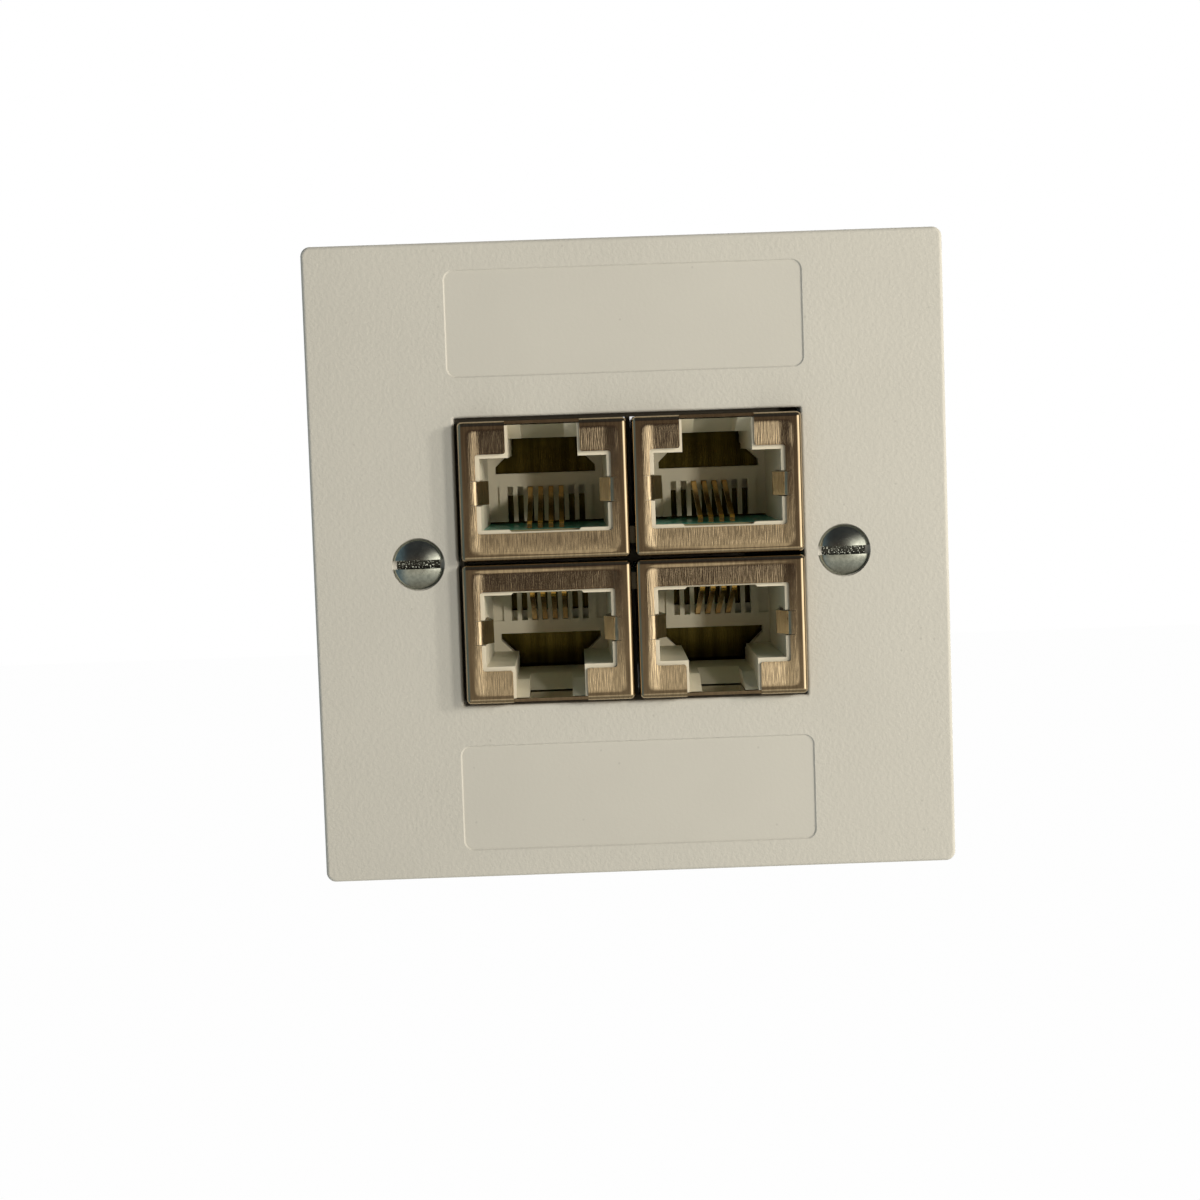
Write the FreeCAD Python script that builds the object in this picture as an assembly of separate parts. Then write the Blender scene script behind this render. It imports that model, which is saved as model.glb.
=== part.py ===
import FreeCAD, Part
import math
import os

from FreeCAD import Vector

# Flush wall socket: a square cover plate with a two by two block of shielded four-contact jacks.
# Millimetres, +Z up. The cover faces -Y and its rear rim lies in the plane Y = 0, centred on the origin.

# Cover plate
cover_side = 60.0
cover_depth = 6.0
cover_wall = 2.0
skirt_wall = 1.6
cover_corner_radius = 0.9
cover_edge_radius = 0.35
skirt_inner_radius = 0.6
window_gap_x = 0.21
window_gap_z = 0.34
window_corner_radius = 0.15
window_edge_radius = 0.28
label_width = 33.6
label_height = 10.1
label_depth = 0.11
label_draft = 0.14
label_corner_radius = 1.0
label_centre_z = 22.4
collar_wall = 1.0
rib_wall = 1.0
rib_count = 3
rib_pitch = 11.0
collar_gap = 0.15

# Cover screws, raised countersunk with a waisted shank
screw_beside_block = 4.0
screw_head_radius = 2.38
screw_head_land = 0.15
screw_crown = 0.6
screw_sink = 0.12
screw_slot_width = 0.82
screw_slot_depth = 1.1
screw_neck_radius = 1.05
screw_neck_gap = 0.3
screw_thread_radius = 1.25
screw_free_length = 6.0
screw_tip_chamfer = 0.4
screw_hole_gap = 0.3
countersink_gap = 0.12
boss_radius = 3.1

# Module carrier
carrier_plate = 2.0
carrier_set_back = 0.2
carrier_wall = 1.5
carrier_gap = 0.03
column_rib_gap = 0.05
carrier_margin = 2.4
carrier_corner_radius = 2.0
carrier_side_reach = 10.0
carrier_top_reach = 3.0
carrier_screw_relief = 2.6
ear_half_height = 4.4
ear_reach = 4.2
ear_hole_gap = 0.1
groove_depth = 0.6
groove_gap = 0.06
groove_front_wall = 1.2
groove_rear_wall = 1.9
lead_in = 1.0
spacer_depth = 2.2
spacer_place = 6.3

# Jack block
column_gap = 0.48
row_gap = 0.28
module_shift_x = 0.15
module_shift_z = -0.04
jack_stand_proud = 1.4

# Jack shield, one folded sheet
shield_width = 15.86
shield_sheet = 0.3
shield_bend_radius = 0.45
shield_sill = 2.6
shield_head = 3.09
shield_skirt = 1.4
shield_rear_space = 1.0
opening_width = 12.68
opening_height = 7.43
opening_sill = -0.24
opening_corner_radius = 0.25
notch_width = 7.0
notch_reach = 1.1
spring_height = 2.2
spring_centre = 3.57
spring_widening = 0.5
spring_slit = 0.04
spring_bend = 0.4
spring_crest = 2.0
spring_lean = 1.0
spring_length = 5.2
spring_return = 0.7
peg_width = 1.2
peg_length = 2.1
peg_first = 2.0
peg_second = 5.0
peg_gap = 0.1

# Jack housing, white moulding
housing_gap = 0.1
cavity_rim = 0.38
cavity_draft = 0.25
cavity_depth = 15.4
housing_rear_wall = 1.8
latch_rim = 0.23
catch_ramp_start = 1.0
catch_ramp_end = 5.0
catch_height = 1.31
latch_gap = 4.1
stop_ramp_start = 7.0
stop_ramp_end = 10.2
lip_height = 0.85
lip_crest = 0.08
lip_dip_width = 6.4
lip_dip_level = -0.13
comb_slots = 8
contact_pitch = 1.02
comb_slot_width = 0.58
comb_fin_foot = 0.23
comb_slot_top = 3.74
comb_backed_height = 0.91
comb_backed_depth = 1.1
bar_top = 5.03
pillar_width = 0.8
pillar_step = 0.3
rear_window_half = 5.0
rear_window_shoulder = 5.7
rear_window_waist = 7.4
rear_window_neck_half = 3.27
rear_window_top = 8.6
spring_window_gap = 0.12
spring_window_depth = 6.2
locating_peg_radius = 0.6
locating_peg_length = 1.4
locating_peg_place = 9.3

# Contact wires
contact_width = 0.45
contact_thickness = 0.35
contact_count = 4
first_contact = 3
contact_foot = 4.7
contact_heel = 0.4
contact_bend = 0.5
contact_reach = 0.9
contact_seat_gap = 0.05
tail_length = 2.2
tail_hole_radius = 0.36

# Circuit boards
board_thickness = 1.6
board_front_gap = 0.15
board_side_gap = 0.15
board_tail = 0.8
board_corner_radius = 0.8

# Link between the boards
link_pins = 4
link_pitch = 2.54
link_pin_side = 0.64
link_pin_length = 7.6
link_behind_shield = 1.3
link_gap = 0.05
link_fit_gap = 0.03
link_chamfer = 0.6
link_hole_radius = 0.55

# Terminal blocks
pole_count = 4
pole_pitch = 5.08
terminal_end_wall = 0.5
terminal_behind_link = 1.4
terminal_depth = 8.4
terminal_height = 9.2
terminal_shoulder = 6.2
terminal_chamfer = 1.1
chamber_width = 3.9
chamber_floor = 0.9
chamber_height = 4.4
chamber_depth = 6.4
clamp_wall = 0.55
clamp_thread_wall = 1.0
clamp_depth = 4.6
clamp_gap = 0.08
clamp_set_back = 0.9
clamp_pin_width = 1.0
clamp_pin_thickness = 0.6
clamp_pin_length = 2.3
clamp_hole_radius = 0.68
clamp_screw_head_radius = 1.7
clamp_screw_head_height = 1.5
clamp_screw_radius = 1.0
clamp_screw_slot_width = 0.5
clamp_screw_slot_depth = 0.8
clamp_screw_bite = 1.2
clamp_screw_gap = 0.06
slot_turn = 37.0
well_gap = 0.2
well_ledge = 0.6

# Places that follow from the sizes above
TOUCH = 1e-4
FAR = 2.0
AWAY = Vector(0, 1, 0)
UP = Vector(0, 0, 1)
SIDEWAYS = Vector(1, 0, 0)

cover_front = -cover_depth
cover_back = cover_front + cover_wall
carrier_rear = -carrier_set_back
carrier_front = carrier_rear - carrier_plate
jack_front = cover_front - jack_stand_proud
shield_height = shield_sill + opening_height + shield_head
shield_floor = opening_sill - shield_sill
shield_top = shield_floor + shield_height
housing_depth = cavity_depth + housing_rear_wall
shield_depth = housing_depth + shield_rear_space + shield_sheet
board_level = row_gap / 2 - shield_floor
board_underside = board_level - board_thickness
column_pitch = shield_width + column_gap
block_half_x = (column_pitch + shield_width) / 2
block_half_z = shield_height + row_gap / 2
screw_spacing = 2 * (block_half_x + screw_beside_block)
window_half_x = block_half_x + window_gap_x
window_half_z = block_half_z + window_gap_z
frame_half_x = block_half_x + carrier_gap
frame_half_z = block_half_z + carrier_gap
groove_front = carrier_front + groove_front_wall
groove_rear = carrier_side_reach - groove_rear_wall
housing_half = shield_width / 2 - shield_sheet - housing_gap
housing_top = shield_top - shield_sheet - housing_gap
opening_top = opening_sill + opening_height
cavity_half = opening_width / 2 - cavity_rim
cavity_top = opening_top - cavity_rim
latch_half = notch_width / 2 - latch_rim
board_front = jack_front + shield_skirt + board_front_gap
screw_places = (-screw_spacing / 2, screw_spacing / 2)
columns = {"left": -column_pitch / 2, "right": column_pitch / 2}
contact_places = [(i - (contact_count - 1) / 2) * contact_pitch for i in range(contact_count)]
locating_pegs = (-(cavity_half + housing_half) / 2, (cavity_half + housing_half) / 2)
wing_start = groove_front - jack_front
shield_pegs = ((-1, wing_start + peg_first), (1, wing_start + peg_second))
link_place = jack_front + shield_depth + link_behind_shield
link_places = [(i - (link_pins - 1) / 2) * link_pitch for i in range(link_pins)]
pole_places = [(i - (pole_count - 1) / 2) * pole_pitch for i in range(pole_count)]
terminal_front = link_place + terminal_behind_link
board_rear = terminal_front + terminal_depth + board_tail
clamp_centre = terminal_front + terminal_depth - clamp_set_back - clamp_depth / 2
clamp_roof = chamber_floor + chamber_height - clamp_gap


def around(centre, size):
    """Lower and upper limit of a size about a centre."""
    return (centre - size / 2, centre + size / 2)


def block(x, y, z):
    """Box between a lower and an upper limit on each axis."""
    return Part.makeBox(x[1] - x[0], y[1] - y[0], z[1] - z[0], Vector(x[0], y[0], z[0]))


def rod(radius, start, reach):
    """Round rod from a start point along a vector."""
    return Part.makeCylinder(radius, reach.Length, start, reach)


def rounded_face(points, radii):
    """Flat face through the points, each corner rounded by its own radius."""
    edges = []
    last = None
    first = None
    for i, corner in enumerate(points):
        back = (points[i - 1] - corner).normalize()
        ahead = (points[(i + 1) % len(points)] - corner).normalize()
        arrive = corner
        leave = corner
        arc = None
        if radii[i] > 0:
            half_turn = back.getAngle(ahead) / 2
            inward = (back + ahead).normalize()
            centre = corner + inward * (radii[i] / math.sin(half_turn))
            arrive = corner + back * (radii[i] / math.tan(half_turn))
            leave = corner + ahead * (radii[i] / math.tan(half_turn))
            arc = Part.Arc(arrive, centre - inward * radii[i], leave).toShape()
        if last is None:
            first = arrive
        elif last.distanceToPoint(arrive) > TOUCH:
            edges.append(Part.makeLine(last, arrive))
        if arc:
            edges.append(arc)
        last = leave
    if last.distanceToPoint(first) > TOUCH:
        edges.append(Part.makeLine(last, first))
    return Part.Face(Part.Wire(edges))


def rounded_panel_face(x, z, y, radius):
    """Rectangle across the depth at y, its corners rounded."""
    corners = [(x[0], z[0]), (x[1], z[0]), (x[1], z[1]), (x[0], z[1])]
    points = [Vector(px, y, pz) for px, pz in corners]
    return rounded_face(points, [radius] * len(points))


def panel(x, z, y, radius):
    """Plate in the XZ plane with rounded corners, between two limits of y."""
    return rounded_panel_face(x, z, y[0], radius).extrude(AWAY * (y[1] - y[0]))


def bent_strip(path, thickness, bend, sweep):
    """Strip of even thickness along a path with rounded bends, swept sideways."""
    across = Vector(sweep).normalize()
    runs = [(end - start).normalize() for start, end in zip(path, path[1:])]
    lefts = [across.cross(run) for run in runs]
    near, far, near_radii, far_radii = [], [], [], []
    for i, point in enumerate(path):
        before = lefts[max(i - 1, 0)]
        after = lefts[min(i, len(lefts) - 1)]
        offset = (before + after) * (thickness / 2 / (1 + before.dot(after)))
        inner, outer = 0.0, 0.0
        if 0 < i < len(runs):
            inner, outer = bend - thickness / 2, bend + thickness / 2
            if before.dot(runs[i]) < 0:
                inner, outer = outer, inner
        near.append(point + offset)
        far.append(point - offset)
        near_radii.append(inner)
        far_radii.append(outer)
    return rounded_face(near + far[::-1], near_radii + far_radii[::-1]).extrude(sweep)


def edges_on_plane(shape, axis, level):
    """Edges of a shape that lie wholly in a plane across the named axis."""
    def lies_in(edge):
        low = getattr(edge.BoundBox, axis + "Min")
        high = getattr(edge.BoundBox, axis + "Max")
        return abs(low - level) < TOUCH and abs(high - level) < TOUCH
    return [edge for edge in shape.Edges if lies_in(edge)]


def front_window_edges(shape):
    """Edges of the jack window on the cover's front face."""
    def in_window(edge):
        limits = edge.BoundBox
        inside_x = max(abs(limits.XMin), abs(limits.XMax)) < window_half_x + TOUCH
        inside_z = max(abs(limits.ZMin), abs(limits.ZMax)) < window_half_z + TOUCH
        return inside_x and inside_z
    return [edge for edge in edges_on_plane(shape, "Y", cover_front) if in_window(edge)]


def screw_well(place_x):
    """Countersunk hole for one cover screw."""
    mouth = screw_head_radius + countersink_gap
    hole = screw_thread_radius + screw_hole_gap
    seat = cover_front + screw_sink + screw_head_land
    start = Vector(place_x, cover_front - FAR, 0)
    bore = rod(mouth, start, AWAY * (seat - cover_front + FAR))
    cone = Part.makeCone(mouth, hole, mouth - hole, Vector(place_x, seat, 0), AWAY)
    through = rod(hole, start, AWAY * (cover_depth + FAR))
    return bore.fuse([cone, through])


def label_field(label_z):
    """Shallow recess for a label, its sides sloping in to the floor."""
    outlines = []
    for depth, inset in ((0, 0), (label_depth, label_draft)):
        field_x = around(0, label_width - 2 * inset)
        field_z = around(label_z, label_height - 2 * inset)
        rim = rounded_panel_face(field_x, field_z, cover_front + depth, label_corner_radius - inset)
        outlines.append(rim.OuterWire)
    return Part.makeLoft(outlines, True, True)


def cover_plate():
    """Moulded tray with a jack window, label fields, screw bosses and ribs behind."""
    half = cover_side / 2
    rib_back = carrier_front - collar_gap
    plate = panel((-half, half), (-half, half), (cover_front, 0), cover_corner_radius)
    plate = plate.makeFillet(cover_edge_radius, edges_on_plane(plate, "Y", cover_front))
    inner = half - skirt_wall
    hollow = panel((-inner, inner), (-inner, inner), (cover_back, FAR), skirt_inner_radius)
    plate = plate.cut(hollow)

    collar_x = window_half_x + collar_wall
    collar_z = window_half_z + collar_wall
    rib_y = (cover_back, rib_back)
    added = [panel((-collar_x, collar_x), (-collar_z, collar_z), rib_y, window_corner_radius)]
    for place_x in screw_places:
        boss_reach = AWAY * (carrier_front - cover_back)
        added.append(rod(boss_radius, Vector(place_x, cover_back, 0), boss_reach))
        outward = sorted((place_x, math.copysign(inner + skirt_wall / 2, place_x)))
        added.append(block(outward, rib_y, around(0, rib_wall)))
    for i in range(rib_count):
        rib_x = around((i - (rib_count - 1) / 2) * rib_pitch, rib_wall)
        upright = (window_half_z + collar_wall / 2, inner + skirt_wall / 2)
        added.append(block(rib_x, rib_y, upright))
        added.append(block(rib_x, rib_y, (-upright[1], -upright[0])))
    plate = plate.fuse(added)

    window_x = (-window_half_x, window_half_x)
    window_z = (-window_half_z, window_half_z)
    plate = plate.cut(panel(window_x, window_z, (cover_front - FAR, FAR), window_corner_radius))
    plate = plate.removeSplitter()
    plate = plate.makeFillet(window_edge_radius, front_window_edges(plate))

    for label_z in (-label_centre_z, label_centre_z):
        plate = plate.cut(label_field(label_z))
    for place_x in screw_places:
        plate = plate.cut(screw_well(place_x))
    return plate


def cover_screw(place_x):
    """Raised countersunk slotted screw with a waisted shank and a threaded end."""
    rim = cover_front + screw_sink
    crown = rim - screw_crown
    dome_radius = (screw_head_radius ** 2 + screw_crown ** 2) / (2 * screw_crown)
    half_arc = math.asin(screw_head_radius / dome_radius) / 2
    dome_side = (dome_radius * math.sin(half_arc), crown + dome_radius * (1 - math.cos(half_arc)))
    seat = rim + screw_head_land
    thread_start = screw_thread_radius - screw_neck_radius
    tip = screw_free_length
    corners = [
        (screw_head_radius, rim),
        (screw_head_radius, seat),
        (screw_neck_radius, seat + screw_head_radius - screw_neck_radius),
        (screw_neck_radius, screw_neck_gap),
        (screw_thread_radius, screw_neck_gap + thread_start),
        (screw_thread_radius, tip - screw_tip_chamfer),
        (screw_thread_radius - screw_tip_chamfer, tip),
        (0, tip),
        (0, crown),
    ]
    points = [Vector(radius, y, 0) for radius, y in corners]
    edges = [Part.makeLine(start, end) for start, end in zip(points, points[1:])]
    edges.append(Part.Arc(points[-1], Vector(*dome_side, 0), points[0]).toShape())
    screw = Part.Face(Part.Wire(edges)).revolve(Vector(), AWAY, 360)
    slot_x = around(0, 2 * screw_head_radius + FAR)
    slot = block(slot_x, (crown - FAR, crown + screw_slot_depth), around(0, screw_slot_width))
    screw = screw.cut(slot)
    screw.translate(Vector(place_x, 0, 0))
    return screw


def module_carrier():
    """Flanged frame behind the cover: screw ears, board grooves, a bar between the boards and ribs."""
    wall_x = frame_half_x + carrier_wall
    wall_z = frame_half_z + carrier_wall
    flange_z = wall_z + carrier_margin
    ear_x = screw_spacing / 2 + ear_reach
    plate_y = (carrier_front, carrier_rear)
    flange = panel((-wall_x, wall_x), (-flange_z, flange_z), plate_y, carrier_corner_radius)
    ears = panel((-ear_x, ear_x), around(0, 2 * ear_half_height), plate_y, carrier_corner_radius)
    side_points = [
        Vector(-wall_x, carrier_front, -wall_z),
        Vector(-wall_x, carrier_side_reach, -wall_z),
        Vector(-wall_x, carrier_side_reach, wall_z),
        Vector(-wall_x, carrier_front, wall_z),
    ]
    side_radii = [0, carrier_corner_radius, carrier_corner_radius, 0]
    walls = rounded_face(side_points, side_radii).extrude(SIDEWAYS * (2 * wall_x))
    frame = flange.fuse([ears, walls])

    opening_y = (carrier_front - FAR, carrier_side_reach + FAR)
    cuts = [block((-frame_half_x, frame_half_x), opening_y, (-frame_half_z, frame_half_z))]
    between_sides = (carrier_top_reach, carrier_side_reach + FAR)
    cuts.append(block((-frame_half_x, frame_half_x), between_sides, (-wall_z - FAR, wall_z + FAR)))
    groove_z = (board_underside - groove_gap, board_level + groove_gap)
    ramp = [
        Vector(frame_half_x - TOUCH, carrier_side_reach - lead_in, groove_z[0]),
        Vector(frame_half_x - TOUCH, carrier_side_reach + TOUCH, groove_z[0]),
        Vector(frame_half_x + groove_depth, carrier_side_reach + TOUCH, groove_z[0]),
    ]
    groove_x = (frame_half_x - TOUCH, frame_half_x + groove_depth)
    groove = block(groove_x, (groove_front, groove_rear), groove_z)
    entry = rounded_face(ramp, [0, 0, 0]).extrude(UP * (groove_z[1] - groove_z[0]))
    right_upper = groove.fuse(entry)
    left_upper = right_upper.mirror(Vector(), SIDEWAYS)
    for cut in (right_upper, left_upper):
        cuts += [cut, cut.mirror(Vector(), UP)]
    hole_radius = screw_neck_radius + ear_hole_gap
    for place_x in screw_places:
        axis = Vector(place_x - module_shift_x, carrier_rear, -module_shift_z)
        cuts.append(rod(hole_radius, axis - AWAY * (carrier_plate + FAR), AWAY * (carrier_plate + 2 * FAR)))
        cuts.append(rod(carrier_screw_relief, axis, AWAY * (carrier_side_reach - carrier_rear + FAR)))
    spacer_z = around(0, 2 * (board_underside - groove_gap))
    spacer_x = (-frame_half_x - groove_depth / 2, frame_half_x + groove_depth / 2)
    spacer = block(spacer_x, around(spacer_place, spacer_depth), spacer_z)
    rib_x = around(0, column_gap - 2 * column_rib_gap)
    rib_y = (carrier_front, carrier_top_reach)
    rib = block(rib_x, rib_y, (board_level + groove_gap, wall_z - carrier_wall / 2))
    return frame.cut(cuts).fuse([spacer, rib, rib.mirror(Vector(), UP)]).removeSplitter()


def folded_edges(shape):
    """Edges that a sheet is bent along: round the front face and along the depth."""
    along = [edge for edge in shape.Edges if edge.BoundBox.YLength > TOUCH]
    return along + edges_on_plane(shape, "Y", shape.BoundBox.YMin)


def ground_spring(side):
    """Tongue rolled in from the edge of the shield's opening, leaning in to a crest and out again."""
    edge = opening_width / 2
    root = edge + spring_widening + shield_sheet
    crest = edge - spring_lean
    low = spring_centre - spring_height / 2
    path = [
        Vector(side * root, shield_sheet / 2, low),
        Vector(side * edge, shield_sheet / 2, low),
        Vector(side * crest, spring_crest, low),
        Vector(side * (crest + spring_return), spring_length, low),
    ]
    return bent_strip(path, shield_sheet, spring_bend, UP * spring_height)


def jack_shield():
    """Shield folded from one sheet: front with its opening, walls, rear, ground springs and board pegs."""
    half = shield_width / 2
    sheet = shield_sheet
    outer = block((-half, half), (0, shield_depth), (shield_floor, shield_top))
    outer = outer.makeFillet(shield_bend_radius, folded_edges(outer))
    inner_y = (sheet, shield_depth - sheet)
    hollow = block((sheet - half, half - sheet), inner_y, (shield_floor + sheet, shield_top - sheet))
    hollow = hollow.makeFillet(shield_bend_radius - sheet, folded_edges(hollow))
    rear_y = (shield_skirt, shield_depth + FAR)
    below_board = block((-half - FAR, half + FAR), rear_y, (shield_floor - FAR, 0))

    side = opening_width / 2
    notch = notch_width / 2
    right_half = [
        (side, opening_sill, opening_corner_radius),
        (side, opening_top, opening_corner_radius),
        (notch, opening_top, opening_corner_radius),
        (notch, shield_top + FAR, 0),
    ]
    left_half = [(-x, z, radius) for x, z, radius in reversed(right_half)]
    outline = right_half + left_half
    points = [Vector(x, -FAR, z) for x, z, _ in outline]
    opening = rounded_face(points, [radius for _, _, radius in outline]).extrude(AWAY * (FAR + notch_reach))

    widened = side + spring_widening
    slit_z = around(spring_centre, spring_height + 2 * spring_slit)
    slit = block((-widened, widened), (-FAR, 2 * sheet), slit_z)
    shield = outer.cut([hollow, below_board, opening, slit])

    added = []
    for sign, place in shield_pegs:
        added.append(ground_spring(sign))
        wall_x = sorted((sign * half, sign * (half - sheet)))
        added.append(block(wall_x, around(place, peg_width), (-peg_length, peg_width / 2)))
    return shield.fuse(added).removeSplitter()


def housing_shell():
    """Outer form of the housing with its front lip, rounded to sit inside the bent shield."""
    width = (-housing_half, housing_half)
    body = block(width, (shield_sheet, housing_depth), (0, housing_top))
    foot = block(width, (shield_sheet, shield_skirt), (-lip_height, TOUCH))
    shell = body.fuse(foot).removeSplitter()

    def meets_bend(edge):
        limits = edge.BoundBox
        at_side = abs(abs(limits.XMin) - housing_half) < TOUCH and limits.XLength < TOUCH
        on_front = limits.YMax < shield_sheet + TOUCH
        on_top = limits.ZMin > housing_top - TOUCH
        return (at_side and (on_front or on_top)) or (on_front and on_top)
    edges = [edge for edge in shell.Edges if meets_bend(edge)]
    return shell.makeFillet(shield_bend_radius - shield_sheet, edges)


def latch_space(half, ramp_start, ramp_end):
    """Space in the latch channel, closed at its far end by a ramp down to the level of the catches."""
    mouth = shield_sheet - FAR
    under = cavity_top - FAR
    catch = housing_top - catch_height
    above = housing_top + FAR
    profile = [
        (mouth, under),
        (ramp_end, under),
        (ramp_end, catch),
        (ramp_start, housing_top),
        (ramp_start, above),
        (mouth, above),
    ]
    points = [Vector(-half, y, z) for y, z in profile]
    return rounded_face(points, [0] * len(points)).extrude(SIDEWAYS * (2 * half))


def plug_cavity():
    """Space for the plug: a drafted main part and the channel for its latch, with catches and a stop."""
    mouth = shield_sheet - FAR
    back_half = cavity_half - cavity_draft
    slope = cavity_draft / (cavity_depth - shield_sheet)
    mouth_half = cavity_half + slope * FAR
    floor_points = [
        Vector(-mouth_half, mouth, -FAR),
        Vector(mouth_half, mouth, -FAR),
        Vector(back_half, cavity_depth, -FAR),
        Vector(-back_half, cavity_depth, -FAR),
    ]
    main = rounded_face(floor_points, [0, 0, 0, 0]).extrude(UP * (cavity_top + FAR))
    entry = latch_space(latch_half, catch_ramp_start, catch_ramp_end)
    between = latch_space(latch_gap / 2, stop_ramp_start, stop_ramp_end)
    beneath_z = (cavity_top - FAR, housing_top - catch_height)
    beneath = block((-latch_half, latch_half), (mouth, cavity_depth), beneath_z)
    return [main, entry, between, beneath]


def comb_cuts():
    """Slots between the fins, the space under the comb and the shallow steps beside it."""
    face = cavity_depth - TOUCH
    out = housing_depth + FAR
    backed = cavity_depth + comb_backed_depth
    deep_top = comb_slot_top - comb_backed_height
    cuts = []
    for i in range(comb_slots):
        slot_x = around((i - (comb_slots - 1) / 2) * contact_pitch, comb_slot_width)
        cuts.append(block(slot_x, (face, out), (-FAR, deep_top)))
        cuts.append(block(slot_x, (face, backed), (deep_top - TOUCH, comb_slot_top)))
    back_half = cavity_half - cavity_draft
    cuts.append(block((-back_half, back_half), (face, out), (-FAR, comb_fin_foot)))
    pillar = ((comb_slots - 1) * contact_pitch + comb_slot_width) / 2 + pillar_width
    for sign in (-1, 1):
        step_x = sorted((sign * pillar, sign * back_half))
        cuts.append(block(step_x, (face, cavity_depth + pillar_step), (-FAR, comb_slot_top)))
    return cuts


def rear_window():
    """Window in the rear wall above the comb, wide below and narrow in the latch channel."""
    right = [
        (rear_window_half, bar_top),
        (rear_window_half, rear_window_shoulder),
        (rear_window_neck_half, rear_window_waist),
        (rear_window_neck_half, rear_window_top),
    ]
    outline = right + [(-x, z) for x, z in reversed(right)]
    points = [Vector(x, cavity_depth - TOUCH, z) for x, z in outline]
    return rounded_face(points, [0] * len(points)).extrude(AWAY * (housing_depth - cavity_depth + FAR))


def front_lip():
    """Low sill across the front of the cavity, dipped in the middle."""
    side = cavity_half + TOUCH
    dip = lip_dip_width / 2
    dip_start = dip + lip_crest - lip_dip_level
    right = [(side, -lip_height), (side, lip_crest), (dip_start, lip_crest), (dip, lip_dip_level)]
    outline = right + [(-x, z) for x, z in reversed(right)]
    points = [Vector(x, shield_sheet, z) for x, z in outline]
    return rounded_face(points, [0] * len(points)).extrude(AWAY * (shield_skirt - shield_sheet))


def jack_housing():
    """White moulding of one jack: plug cavity, latch channel, comb, spring windows and board pegs."""
    cuts = plug_cavity() + comb_cuts() + [rear_window()]
    window_z = around(spring_centre, spring_height + 2 * spring_window_gap)
    reach = housing_half + FAR
    for sign in (-1, 1):
        window_x = sorted((sign * (cavity_half - FAR), sign * reach))
        cuts.append(block(window_x, (-FAR, spring_window_depth), window_z))
    housing = housing_shell().cut(cuts)
    added = [front_lip()]
    for peg_x in locating_pegs:
        start = Vector(peg_x, locating_peg_place, locating_peg_radius)
        added.append(rod(locating_peg_radius, start, UP * -(locating_peg_radius + locating_peg_length)))
    return housing.fuse(added).removeSplitter()


def contact_wire(place):
    """Spring wire: soldered tail, bend at the heel, slope up to the comb and end held under its bar."""
    seat = comb_slot_top - contact_seat_gap - contact_thickness / 2
    side = place - contact_width / 2
    path = [
        Vector(side, contact_foot, -tail_length),
        Vector(side, contact_foot, contact_heel),
        Vector(side, cavity_depth, seat),
        Vector(side, cavity_depth + contact_reach, seat),
    ]
    return bent_strip(path, contact_thickness, contact_bend, SIDEWAYS * contact_width)


def circuit_board():
    """Board with wings that run in the carrier's grooves and holes for everything soldered to it."""
    narrow = block_half_x - board_side_gap
    wing = frame_half_x + groove_depth - board_side_gap
    wing_front = groove_front + groove_gap
    wing_rear = groove_rear - groove_gap
    right = [
        (narrow, board_front, 0),
        (narrow, wing_front, 0),
        (wing, wing_front, 0),
        (wing, wing_rear, 0),
        (narrow, wing_rear, 0),
        (narrow, board_rear, board_corner_radius),
    ]
    outline = right + [(-x, y, radius) for x, y, radius in reversed(right)]
    points = [Vector(x, y, board_underside) for x, y, _ in outline]
    board = rounded_face(points, [radius for _, _, radius in outline]).extrude(UP * board_thickness)

    def hole(radius, x, y):
        return rod(radius, Vector(x, y, board_underside - FAR), UP * (board_thickness + 2 * FAR))
    cuts = []
    through = (board_underside - FAR, board_level + FAR)
    for column_x in columns.values():
        for place in contact_places:
            cuts.append(hole(tail_hole_radius, column_x + place, jack_front + contact_foot))
        for peg_x in locating_pegs:
            peg_hole = locating_peg_radius + peg_gap
            cuts.append(hole(peg_hole, column_x + peg_x, jack_front + locating_peg_place))
        for sign, place in shield_pegs:
            slot_x = around(column_x + sign * (shield_width - shield_sheet) / 2, shield_sheet + 2 * peg_gap)
            slot_y = around(jack_front + place, peg_width + 2 * peg_gap)
            cuts.append(block(slot_x, slot_y, through))
    for pole_x in pole_places:
        cuts.append(hole(clamp_hole_radius, pole_x, clamp_centre))
    for pin_x in link_places:
        cuts.append(hole(link_hole_radius, pin_x, link_place))
    return board.cut(cuts)


def terminal_body():
    """Moulded block with a wire chamber, a screw well and a pin slot for each pole."""
    rear = terminal_front + terminal_depth
    half = pole_count * pole_pitch / 2 + terminal_end_wall
    profile = [
        (terminal_front, 0),
        (rear, 0),
        (rear, terminal_shoulder),
        (rear - terminal_chamfer, terminal_height),
        (terminal_front + terminal_chamfer, terminal_height),
        (terminal_front, terminal_shoulder),
    ]
    points = [Vector(-half, y, z) for y, z in profile]
    body = rounded_face(points, [0] * len(points)).extrude(SIDEWAYS * (2 * half))
    cuts = []
    ceiling = chamber_floor + chamber_height
    for pole_x in pole_places:
        chamber_x = around(pole_x, chamber_width)
        cuts.append(block(chamber_x, (rear - chamber_depth, rear + FAR), (chamber_floor, ceiling)))
        centre = Vector(pole_x, clamp_centre, ceiling)
        cuts.append(rod(clamp_screw_radius + well_gap, centre - UP * TOUCH, UP * (well_ledge + FAR)))
        well_start = centre + UP * well_ledge
        cuts.append(rod(clamp_screw_head_radius + well_gap, well_start, UP * terminal_height))
        slot_x = around(pole_x, clamp_pin_width + 2 * clamp_gap)
        slot_y = around(clamp_centre, clamp_pin_thickness + 2 * clamp_gap)
        cuts.append(block(slot_x, slot_y, (-FAR, chamber_floor + TOUCH)))
    return body.cut(cuts)


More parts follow.
